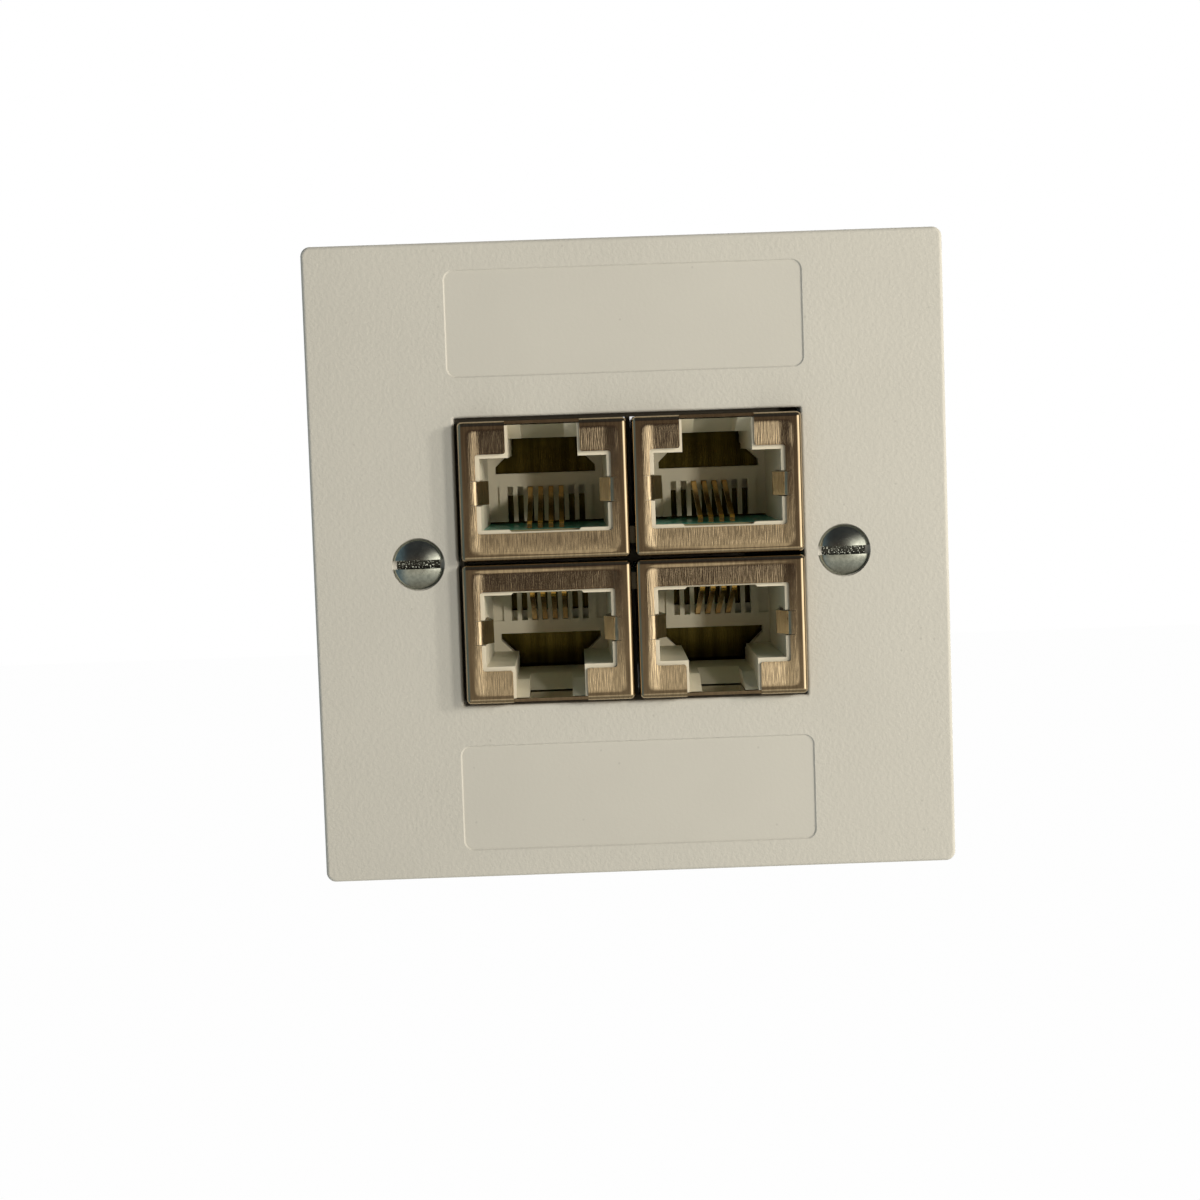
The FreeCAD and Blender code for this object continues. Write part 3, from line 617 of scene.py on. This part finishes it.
@dataclass(frozen=True)
class Finishes:
    """Every finish on the socket."""

    cream: Finish = MouldedPlastic(
        "cream moulding", (0.585, 0.568, 0.505), 0.46, grain=0.34, depth=0.014, specks=0.28,
        smooth_behind=-5.96,
    )
    white: Finish = MouldedPlastic(
        "white moulding", (0.71, 0.652, 0.51), 0.36, grain=0.5, depth=0.006, specks=0.06,
    )
    carrier: Finish = MouldedPlastic(
        "black frame moulding", (0.11, 0.096, 0.072), 0.48, grain=0.3, depth=0.012, specks=0.1,
    )
    terminal: Finish = MouldedPlastic(
        "grey terminal moulding", (0.20, 0.215, 0.22), 0.44, grain=0.3, depth=0.01, specks=0.1,
    )
    strip: Finish = MouldedPlastic(
        "black strip moulding", (0.017, 0.017, 0.018), 0.4, grain=0.25, depth=0.008, specks=0.05,
    )
    sheet: Finish = ShieldSheet(
        "nickel sheet", (0.525, 0.415, 0.268), 0.19, across=0.1, along=1.5, depth=0.02,
        crown=13.0, roll=0.165, lean=(0.026, 0.08), bead=0.031, press=0.006, rim_gloss=0.09,
        panel_inset=(0.66, 1.05), centre=(8.17, 6.70), half=(7.93, 6.56), shift=(0.15, -0.04),
        inside_shade=(0.07, 0.054, 0.012),
    )
    gold: Finish = PlatedMetal("gold plate", (0.94, 0.595, 0.15), 0.22, across=0.05, along=0.6, depth=0.001)
    tin: Finish = PlatedMetal("tin plate", (0.66, 0.65, 0.61), 0.32, across=0.12, along=0.8, depth=0.002)
    solder: Finish = PlatedMetal("solder", (0.68, 0.68, 0.66), 0.26, across=0.4, along=0.4, depth=0.004)
    zinc: Finish = PlatedMetal("zinc plate", (0.60, 0.60, 0.57), 0.3, across=0.08, along=0.5, depth=0.002)
    screw: Finish = ScrewPlate(
        "bright screw plate", (0.46, 0.48, 0.42), 0.24, across=0.16, along=0.16, depth=0.0012,
        slot_half=0.42, slot_behind=-5.5,
    )
    mask: Finish = BoardLaminate(
        "green solder mask", (0.014, 0.33, 0.275), 0.28, edge=(0.22, 0.19, 0.10), weave=0.6,
    )
    trace: Finish = MouldedPlastic(
        "masked copper", (0.022, 0.20, 0.145), 0.3, grain=0.4, depth=0.004, specks=0.0,
    )


class Workshop:
    """Makes the materials once, dresses the nodes and hands over new pieces."""

    def __init__(self, finishes: Finishes) -> None:
        """Build the shared groups and every material."""
        effects = Effects()
        self.materials: Dict[str, Material] = {}
        for field in fields(finishes):
            self.materials[field.name] = getattr(finishes, field.name).material(effects)

    def coat(self, mesh: Mesh, finish: str) -> None:
        """Give a mesh the material of one field of Finishes."""
        mesh.materials.clear()
        mesh.materials.append(self.materials[finish])

    def dress(self, names: Sequence[str], finish: str) -> None:
        """Give nodes of the frame the finish of one field of Finishes."""
        for name in names:
            self.coat(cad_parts[name].data, finish)
            LOG.info("dressed %s in %s", name, finish)

    def hand_over(self, name: str, mesh: Mesh, finish: str) -> bpy.types.Object:
        """Make an object of a mesh and let it ride on the socket.

        Args:
            name: name of the piece.
            mesh: its mesh.
            finish: the field of Finishes that it gets.

        Returns:
            The new object.
        """
        self.coat(mesh, finish)
        piece = in_scene(name, mesh)
        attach(piece, "root")
        LOG.info("built %s with %d faces", name, len(mesh.polygons))
        return piece


def lathe(work: Work, profile: Sequence[Place], frame_of: Matrix, around: int,
          radius_at: Callable[[float, float, float], float] = lambda radius, height, turn: radius) -> None:
    """Turn a profile round an axis into a closed skin.

    Args:
        work: mesh that the skin goes into.
        profile: radius and height of each ring, in millimetres; both ends close on the axis.
        frame_of: turns the axis and its start into place; the axis is Z before that.
        around: points in each ring.
        radius_at: radius of a ring at a height and a turn between 0 and 1.
    """
    rings: List[List[bmesh.types.BMVert]] = []
    for radius, height in profile:
        ring = []
        for i in range(around):
            turn = i / around
            reach = radius_at(radius, height, turn)
            spot = metres(reach * math.cos(TURN * turn), reach * math.sin(TURN * turn), height)
            ring.append(work.verts.new(frame_of @ spot))
        rings.append(ring)
    for low, high in zip(rings, rings[1:]):
        for i in range(around):
            j = (i + 1) % around
            work.faces.new((low[i], low[j], high[j], high[i]))
    for ring, height, order in ((rings[0], profile[0][1], -1), (rings[-1], profile[-1][1], 1)):
        tip = work.verts.new(frame_of @ metres(0.0, 0.0, height))
        for i in range(around):
            corner = (ring[i], ring[(i + 1) % around])[::order]
            work.faces.new((*corner, tip))


def smooth(mesh: Mesh, sharp: float) -> None:
    """Shade a mesh smooth, but for edges over an angle in degrees."""
    mesh.shade_smooth()
    mesh.set_sharp_from_angle(angle=math.radians(sharp))


def finished_mesh(work: Work, name: str, sharp: float) -> Mesh:
    """Turn a work mesh into a smooth shaded one with its sharp edges kept.

    Args:
        work: the work mesh, which is freed.
        name: name of the new mesh.
        sharp: edges over this angle, in degrees, stay sharp.

    Returns:
        The new mesh.
    """
    bmesh.ops.recalc_face_normals(work, faces=work.faces[:])
    mesh = bpy.data.meshes.new(name)
    work.to_mesh(mesh)
    work.free()
    smooth(mesh, sharp)
    return mesh


@dataclass
class CoverPlate:
    """The moulded cover, shown as the frame gives it."""

    node: str = "cover_plate"

    def dress(self, workshop: Workshop) -> None:
        """Give the cover its moulded finish."""
        workshop.dress([self.node], "cream")


@dataclass
class CoverScrews:
    """The two raised countersunk screws, with cut threads and sawn slots. Sizes in millimetres."""

    spacing: float = 40.2
    cover_front: float = -6.0
    head_radius: float = 2.38
    head_land: float = 0.15
    edge_width: float = 0.18
    edge_drop: float = 0.1
    crown: float = 0.6
    crown_rings: int = 14
    sink: float = 0.12
    slot_width: float = 0.82
    slot_depth: float = 1.1
    neck_radius: float = 1.05
    neck_gap: float = 0.3
    thread_radius: float = 1.25
    thread_pitch: float = 0.45
    thread_depth: float = 0.25
    thread_slope: float = 1.35
    thread_crest: float = 0.2
    rings_per_pitch: int = 10
    tip: float = 6.0
    tip_chamfer: float = 0.4
    around: int = 48
    sharp: float = 35.0

    @property
    def rim(self) -> float:
        """Place along the axis of the head's edge."""
        return self.cover_front + self.sink

    @property
    def thread_start(self) -> float:
        """Place along the axis where the thread begins."""
        return self.neck_gap + self.thread_radius - self.neck_radius

    def profile(self) -> List[Place]:
        """Radius and place along the axis of each ring, from the crown to the tip."""
        top = self.rim - self.crown
        dome = (self.head_radius ** 2 + self.crown ** 2) / (2 * self.crown)
        arc = math.asin((self.head_radius - self.edge_width) / dome)
        rings: List[Place] = []
        for i in range(1, self.crown_rings + 1):
            angle = arc * i / self.crown_rings
            rings.append((dome * math.sin(angle), top + dome * (1 - math.cos(angle))))
        seat = self.rim + self.head_land
        cone = self.head_radius - self.neck_radius
        rings += [(self.head_radius, self.rim + self.edge_drop), (self.head_radius, seat)]
        rings += [(self.neck_radius, seat + cone), (self.neck_radius, self.neck_gap)]
        length = self.tip - self.thread_start
        steps = int(length / (self.thread_pitch / self.rings_per_pitch))
        for i in range(steps + 1):
            y = self.thread_start + length * i / steps
            rings.append((min(self.thread_radius, self.thread_radius - self.tip_chamfer + self.tip - y), y))
        return rings

    def thread(self, radius: float, y: float, turn: float) -> float:
        """Radius with the thread's groove taken off it."""
        if y < self.thread_start:
            return radius
        phase = (y / self.thread_pitch - turn) % 1.0
        groove = min(max(self.thread_slope * (1 - abs(2 * phase - 1)) - self.thread_crest, 0.0), 1.0)
        fade = min(1.0, (y - self.thread_start) / self.thread_pitch)
        return min(radius, self.thread_radius - self.thread_depth * groove * fade)

    def build(self, workshop: Workshop) -> None:
        """Build both screws as one piece in place of the node."""
        whole = bmesh.new()
        cutter = bmesh.new()
        saw_size = metres(3 * self.head_radius, 2 * self.slot_depth, self.slot_width)
        for side in (-1, 1):
            centre = side * self.spacing / 2
            axis = Matrix.Translation(metres(centre, 0, 0)) @ Matrix.Rotation(math.radians(-90), 4, "X")
            lathe(whole, self.profile(), axis, self.around, self.thread)
            crest = Matrix.Translation(metres(centre, self.rim - self.crown, 0))
            bmesh.ops.create_cube(cutter, size=1.0, matrix=crest @ Matrix.Diagonal((*saw_size, 1.0)))
        body = in_scene("screw_blank", finished_mesh(whole, "screw_blank", self.sharp))
        saw = in_scene("screw_saw", finished_mesh(cutter, "screw_saw", self.sharp))
        cut = body.modifiers.new("slot", "BOOLEAN")
        cut.object = saw
        cut.operation = "DIFFERENCE"
        cut.solver = "EXACT"
        shaped = body.evaluated_get(bpy.context.evaluated_depsgraph_get())
        mesh = bpy.data.meshes.new_from_object(shaped)
        for part in (body, saw):
            bpy.data.objects.remove(part)
        smooth(mesh, self.sharp)
        piece = workshop.hand_over("cover_screws_threaded", mesh, "screw")
        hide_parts("cover_screws")


@dataclass
class JackBlock:
    """The two by two block of jacks: shields, housings and contact wires."""

    columns: Tuple[str, str] = ("left", "right")
    contacts: Tuple[int, ...] = (3, 4, 5, 6)

    def dress(self, workshop: Workshop) -> None:
        """Give every piece of the four jacks its finish."""
        jacks = [row.label + "_" + column for row in Row for column in self.columns]
        workshop.dress([jack + "_shield" for jack in jacks], "sheet")
        workshop.dress([jack + "_housing" for jack in jacks], "white")
        workshop.dress([jack + "_contact_" + str(number) for jack in jacks for number in self.contacts], "gold")


@dataclass
class ModuleCarrier:
    """The frame behind the cover that the boards slide into."""

    node: str = "module_carrier"

    def dress(self, workshop: Workshop) -> None:
        """Give the carrier its moulded finish."""
        workshop.dress([self.node], "carrier")


@dataclass(frozen=True)
class SolderJoint:
    """A solder joint: a flat pad, a hollow slope and a rounded end on the pin. Sizes in millimetres."""

    pad: float
    pin: float
    height: float
    around: int = 24
    pad_edge: float = 0.03
    shoulder_level: float = 0.045
    shoulder_share: float = 0.9
    slope_rings: int = 7
    slope_power: float = 2.2
    end_share: float = 0.6
    end_rise: float = 0.03

    def profile(self) -> List[Place]:
        """Radius and height of each ring, from the board to the pin's end."""
        shoulder = self.shoulder_share * self.pad
        rings: List[Place] = [(self.pad, 0.0), (self.pad, self.pad_edge), (shoulder, self.shoulder_level)]
        for i in range(1, self.slope_rings + 1):
            rise = i / self.slope_rings
            radius = self.pin + (shoulder - self.pin) * (1 - rise) ** self.slope_power
            rings.append((radius, self.shoulder_level + (self.height - self.shoulder_level) * rise))
        rings.append((self.end_share * self.pin, self.height + self.end_rise))
        return rings


@dataclass
class BoardStack:
    """The two boards with their link, solder joints and masked copper tracks. Sizes in millimetres."""

    shift: Place = (0.15, -0.04)
    face: float = 2.98
    underside: float = 1.38
    column: float = 8.17
    tails: Tuple[float, ...] = (-1.53, -0.51, 0.51, 1.53)
    tail_y: float = -2.7
    tail_joint: SolderJoint = SolderJoint(0.46, 0.26, 0.42, around=20)
    pegs: Tuple[Place, ...] = ((-7.78, 1.0), (7.78, 4.0))
    peg_joint: SolderJoint = SolderJoint(0.9, 0.55, 0.36)
    peg_stretch: Place = (0.6, 1.2)
    poles: Tuple[float, ...] = (-7.62, -2.54, 2.54, 7.62)
    pole_y: float = 19.0
    pole_joint: SolderJoint = SolderJoint(1.05, 0.5, 0.5)
    link_pins: Tuple[int, ...] = (1, 2, 3, 4)
    link: Tuple[float, ...] = (-3.81, -1.27, 1.27, 3.81)
    link_y: float = 12.4
    link_joint: SolderJoint = SolderJoint(0.85, 0.4, 0.55)
    track_width: float = 0.45
    track_height: float = 0.03
    track_top: float = 0.9
    ring: Tuple[Place, ...] = ((0.5, 0.0), (0.5, 0.03), (0.26, 0.04), (0.2, 0.012))
    ring_around: int = 20
    sharp: float = 40.0
    right_routes: Tuple[Tuple[Place, ...], ...] = (
        ((3.81, 12.4), (4.5, 13.1), (11.3, 13.1), (12.1, 13.9), (12.1, 20.8)),
        ((1.27, 12.4), (2.2, 11.5), (13.2, 11.5), (14.2, 12.5), (14.2, 21.9)),
        ((15.6, 11.6), (15.6, 22.5), (0.0, 22.5)),
    )

    def dress(self, workshop: Workshop) -> None:
        """Give the boards and their link their finishes."""
        workshop.dress([row.label + "_board" for row in Row], "mask")
        workshop.dress(["board_link_strip"], "strip")
        workshop.dress(["board_link_pin_" + str(number) for number in self.link_pins], "gold")

    def set_on(self, row: Row, x: float, y: float, outward: bool) -> Matrix:
        """Place on a board.

        Args:
            row: the board's row.
            x: place across, as in the upper row.
            y: place along the depth.
            outward: True on the board's outer face, False on its underside.

        Returns:
            The matrix that sets a piece there, its axis away from the board.
        """
        sign = row.value
        level = self.face if outward else self.underside
        spot = metres(sign * x + self.shift[0], y, sign * level + self.shift[1])
        upward = (sign > 0) == outward
        turn = Matrix.Identity(4) if upward else Matrix.Rotation(math.pi, 4, "X")
        return Matrix.Translation(spot) @ turn

    def solder(self, workshop: Workshop, row: Row) -> None:
        """Build the solder joints of one board."""
        work = bmesh.new()

        def joint(made: SolderJoint, x: float, y: float, outward: bool, stretch: Place = (1.0, 1.0)) -> None:
            """Add one joint."""
            spot = self.set_on(row, x, y, outward) @ Matrix.Diagonal((*stretch, 1.0, 1.0))
            lathe(work, made.profile(), spot, made.around)

        for side in (-1, 1):
            centre = side * self.column
            for tail in self.tails:
                joint(self.tail_joint, centre + tail, self.tail_y, False)
            for peg_x, peg_y in self.pegs:
                joint(self.peg_joint, centre + peg_x, peg_y, False, self.peg_stretch)
        for pole in self.poles:
            joint(self.pole_joint, pole, self.pole_y, False)
        for pin in self.link:
            joint(self.link_joint, pin, self.link_y, True)
        mesh = finished_mesh(work, row.label + "_solder", self.sharp)
        workshop.hand_over(row.label + "_board_solder", mesh, "solder")

    def routes(self) -> List[Sequence[Place]]:
        """Track routes on the outer face of a board, from the link to the earth and bus places."""
        mirrored = [[(-x, y) for x, y in route] for route in self.right_routes]
        return [*self.right_routes, *mirrored]

    def track(self, work: Work, row: Row, route: Sequence[Place]) -> None:
        """Lay one track with bevelled sides along a route.

        Args:
            work: mesh that the track goes into.
            row: the board's row.
            route: the corners of the track's middle line.
        """
        spots = [Vector((*spot, 0.0)) for spot in route]
        lefts: List[Vector] = []
        for start, end in zip(spots, spots[1:]):
            along = (end - start).normalized()
            lefts.append(Vector((-along.y, along.x, 0.0)))
        loops = []
        for i, spot in enumerate(spots):
            before, after = lefts[max(i - 1, 0)], lefts[min(i, len(lefts) - 1)]
            foot = (before + after) * (self.track_width / 2 / (1 + before.dot(after)))
            top = foot * self.track_top
            loop = []
            for edge, height in ((foot, 0), (top, self.track_height), (-top, self.track_height), (-foot, 0)):
                where = self.set_on(row, spot.x + edge.x, spot.y + edge.y, True)
                loop.append(work.verts.new(where @ metres(0, 0, height)))
            loops.append(loop)
        for low, high in zip(loops, loops[1:]):
            for i in range(len(low) - 1):
                work.faces.new((low[i], low[i + 1], high[i + 1], high[i]))
        for end in (loops[0], loops[-1]):
            work.faces.new(end)

    def tracks(self, workshop: Workshop, row: Row) -> None:
        """Build the tracks and through-plated rings on the outer face of one board."""
        work = bmesh.new()
        for route in self.routes():
            self.track(work, row, route)
            lathe(work, self.ring, self.set_on(row, *route[-1], True), self.ring_around)
        mesh = finished_mesh(work, row.label + "_tracks", self.sharp)
        workshop.hand_over(row.label + "_board_tracks", mesh, "trace")

    def build(self, workshop: Workshop) -> None:
        """Dress the stack and build what is soldered and etched on it."""
        self.dress(workshop)
        for row in Row:
            self.solder(workshop, row)
            self.tracks(workshop, row)


@dataclass
class TerminalBlocks:
    """The two screw terminal blocks behind the boards."""

    poles: Tuple[int, ...] = (1, 2, 3, 4)

    def dress(self, workshop: Workshop) -> None:
        """Give bodies, clamps and screws their finishes."""
        for row in Row:
            name = row.label + "_terminal_"
            workshop.dress([name + "body"], "terminal")
            workshop.dress([name + "clamp_" + str(pole) for pole in self.poles], "tin")
            workshop.dress([name + "screws"], "zinc")


@dataclass(frozen=True)
class Lamp:
    """One soft lamp: where it stands, how strongly it lights the cover, its size and its colour."""

    name: str
    turn: float
    rise: float
    share: float
    size: Place
    distance: float = 0.45
    colour: Colour = (1.0, 0.95, 0.87)


@dataclass
class Studio:
    """Floor, lamps, surroundings and camera. Lengths in metres, angles in degrees."""

    floor_level: float = -0.16
    floor_half: float = 1.6
    floor_cells: int = 8
    floor_colour: Colour = (0.9, 0.9, 0.9)
    floor_roughness: float = 0.8
    floor_glow: float = 0.985
    eye: Triple = (-0.0050253, -0.2236208, 0.0123709)
    pitch: float = 4.2862
    yaw: float = 0.5063
    roll: float = -1.9372
    lens: float = 69.334
    sensor: float = 36.0
    nearest: float = 0.01
    lamps: Tuple[Lamp, ...] = (
        Lamp("front_softbox", turn=27.5, rise=2.5, share=0.27, size=(0.04, 0.05)),
        Lamp("near_softbox", turn=48.5, rise=14.0, share=0.23, size=(0.058, 0.10)),
        Lamp("far_softbox", turn=64.0, rise=15.0, share=0.135, size=(0.03, 0.08)),
    )
    # The room's light by the height of the direction, from straight down to straight up.
    heights: Tuple[Tuple[float, Colour], ...] = (
        (-1.0, (1.0, 0.97, 0.90)),
        (-0.86, (0.90, 0.87, 0.80)),
        (-0.7, (0.45, 0.445, 0.405)),
        (-0.45, (0.45, 0.45, 0.405)),
        (-0.36, (0.78, 0.73, 0.63)),
        (-0.28, (0.55, 0.508, 0.428)),
        (-0.19, (0.72, 0.665, 0.56)),
        (-0.14, (0.24, 0.21, 0.17)),
        (-0.03, (0.16, 0.13, 0.101)),
        (0.06, (0.066, 0.048, 0.038)),
        (0.35, (0.042, 0.042, 0.045)),
        (1.0, (0.055, 0.058, 0.062)),
    )
    # Cards and walls about the socket, each with the bands of direction over which it comes and goes.
    left_light: Colour = (0.30, 0.375, 0.44)
    left_card: Colour = (0.14, 0.205, 0.25)
    left_edge: Band = (-0.75, -0.4)
    right_wall: Colour = (1.25, 1.17, 1.03)
    right_edge: Band = (0.7, 0.92)
    table_mirrored: Colour = (0.24, 0.22, 0.18)
    table_edge: Band = (-0.8, -0.5)
    soft_card: Colour = (2.4, 2.28, 2.05)
    card_left: Band = (0.13, 0.6)
    card_right: Band = (0.85, 0.95)
    card_foot: Band = (-0.32, -0.2)
    card_head: Band = (0.08, 0.45)
    back_fill: Colour = (0.62, 0.60, 0.56)
    back_edge: Band = (0.15, 0.6)
    white_edge: Band = (0.5, 0.75)

    def camera(self) -> None:
        """Set the camera at the photograph's view."""
        data = bpy.data.cameras.new("view")
        data.lens = self.lens
        data.sensor_width = self.sensor
        data.clip_start = self.nearest
        camera = in_scene("view", data)
        level = Matrix.Rotation(math.radians(self.roll), 4, "Y")
        level = level @ Matrix.Rotation(math.radians(self.pitch), 4, "X")
        level = level @ Matrix.Rotation(math.radians(self.yaw), 4, "Z")
        look = level.transposed() @ Matrix.Rotation(math.radians(90), 4, "X")
        camera.matrix_world = Matrix.Translation(self.eye) @ look
        bpy.context.scene.camera = camera

    def light(self) -> None:
        """Set the lamps to the right of the viewer; metal mirrors a soft card in their place."""
        for lamp in self.lamps:
            data = bpy.data.lights.new(lamp.name, "AREA")
            data.shape = "RECTANGLE"
            data.size, data.size_y = lamp.size
            data.color = lamp.colour
            turn, rise = math.radians(lamp.turn), math.radians(lamp.rise)
            away = Vector((math.sin(turn) * math.cos(rise), -math.cos(turn) * math.cos(rise), math.sin(rise)))
            data.energy = lamp.share * (math.pi * lamp.distance) ** 2 / -away.y
            light = in_scene(lamp.name, data)
            light.visible_glossy = False
            light.location = away * lamp.distance
            light.rotation_euler = away.to_track_quat("Z", "Y").to_euler()

    def room(self, wiring: Wiring, z: Socket) -> Socket:
        """Light of the room by the height of the direction."""
        ramp = wiring.add("ValToRGB")
        stops = ramp.color_ramp.elements
        stops.remove(stops[1])
        for i, (height, colour) in enumerate(self.heights):
            stop = stops.new((height + 1) / 2) if i else stops[0]
            stop.color = opaque(colour)
        wiring.feed(ramp.inputs[0], wiring.product(wiring.math("ADD", z, 1.0), 0.5))
        return ramp.outputs[0]

    def surroundings(self) -> None:
        """Dim room above, pale table below, cool card left, pale wall right, soft fill and white behind."""
        world = bpy.data.worlds.new("studio")
        world.use_nodes = True
        bpy.context.scene.world = world
        wiring = Wiring(world.node_tree)
        x, y, z = wiring.axes(wiring.add("TexCoord").outputs["Generated"])
        room = self.room(wiring, z)
        leftward = wiring.step(x, self.left_edge, 1.0, 0.0)
        lit = wiring.blend(leftward, room, opaque(self.left_light))
        lit = wiring.blend(wiring.step(x, self.right_edge), lit, opaque(self.right_wall))
        downward = wiring.step(z, self.table_edge, 1.0, 0.0)
        shine = wiring.blend(downward, room, opaque(self.table_mirrored))
        shine = wiring.blend(leftward, shine, opaque(self.left_card))
        across = wiring.product(wiring.step(x, self.card_left), wiring.step(x, self.card_right, 1.0, 0.0))
        upright = wiring.product(wiring.step(z, self.card_foot), wiring.step(z, self.card_head, 1.0, 0.0))
        shine = wiring.blend(wiring.product(across, upright), shine, opaque(self.soft_card))
        path = wiring.add("LightPath").outputs
        about = wiring.blend(path["Is Glossy Ray"], lit, shine)
        about = wiring.blend(wiring.step(y, self.back_edge), about, opaque(self.back_fill))
        mirrored = wiring.math("MAXIMUM", path["Is Glossy Ray"], path["Is Transmission Ray"])
        behind = wiring.product(mirrored, wiring.step(y, self.white_edge))
        seen = wiring.math("MAXIMUM", path["Is Camera Ray"], behind)
        white = opaque((1.0, 1.0, 1.0))
        wiring.feed(world.node_tree.nodes["Background"].inputs["Color"], wiring.blend(seen, about, white))

    def floor(self) -> None:
        """Lay a plain white floor well below the socket; it shows shadows and lights nothing."""
        work = bmesh.new()
        cells = self.floor_cells
        bmesh.ops.create_grid(work, x_segments=cells, y_segments=cells, size=self.floor_half)
        mesh = bpy.data.meshes.new("floor")
        work.to_mesh(mesh)
        work.free()
        floor = in_scene("floor", mesh)
        floor.location = (0.0, 0.0, self.floor_level)
        coat = Coat("white floor")
        coat.put("Base Color", opaque(self.floor_colour))
        coat.put("Roughness", self.floor_roughness)
        path = coat.add("LightPath").outputs
        seen = coat.math("MAXIMUM", path["Is Camera Ray"], path["Is Glossy Ray"])
        seen = coat.math("MAXIMUM", seen, path["Is Transmission Ray"])
        mixed = coat.add("MixShader")
        coat.feed(mixed.inputs[0], coat.product(seen, self.floor_glow))
        coat.feed(mixed.inputs[1], coat.shader.outputs[0])
        coat.feed(mixed.inputs[2], coat.add("Emission").outputs[0])
        coat.feed(coat.tree.nodes["Material Output"].inputs["Surface"], mixed.outputs[0])
        mesh.materials.append(coat.material)
        floor.visible_diffuse = False
        floor.visible_glossy = False
        floor.visible_shadow = False

    def build(self) -> None:
        """Set up the whole studio."""
        self.floor()
        self.surroundings()
        self.light()
        self.camera()
        bpy.context.scene.view_settings.view_transform = "Standard"


def main() -> None:
    """Build and dress the socket and set it in the studio."""
    logging.basicConfig(level=logging.INFO, format="%(message)s")
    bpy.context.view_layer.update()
    workshop = Workshop(Finishes())
    CoverPlate().dress(workshop)
    CoverScrews().build(workshop)
    JackBlock().dress(workshop)
    ModuleCarrier().dress(workshop)
    BoardStack().build(workshop)
    TerminalBlocks().dress(workshop)
    Studio().build()


if __name__ == "__main__":
    main()
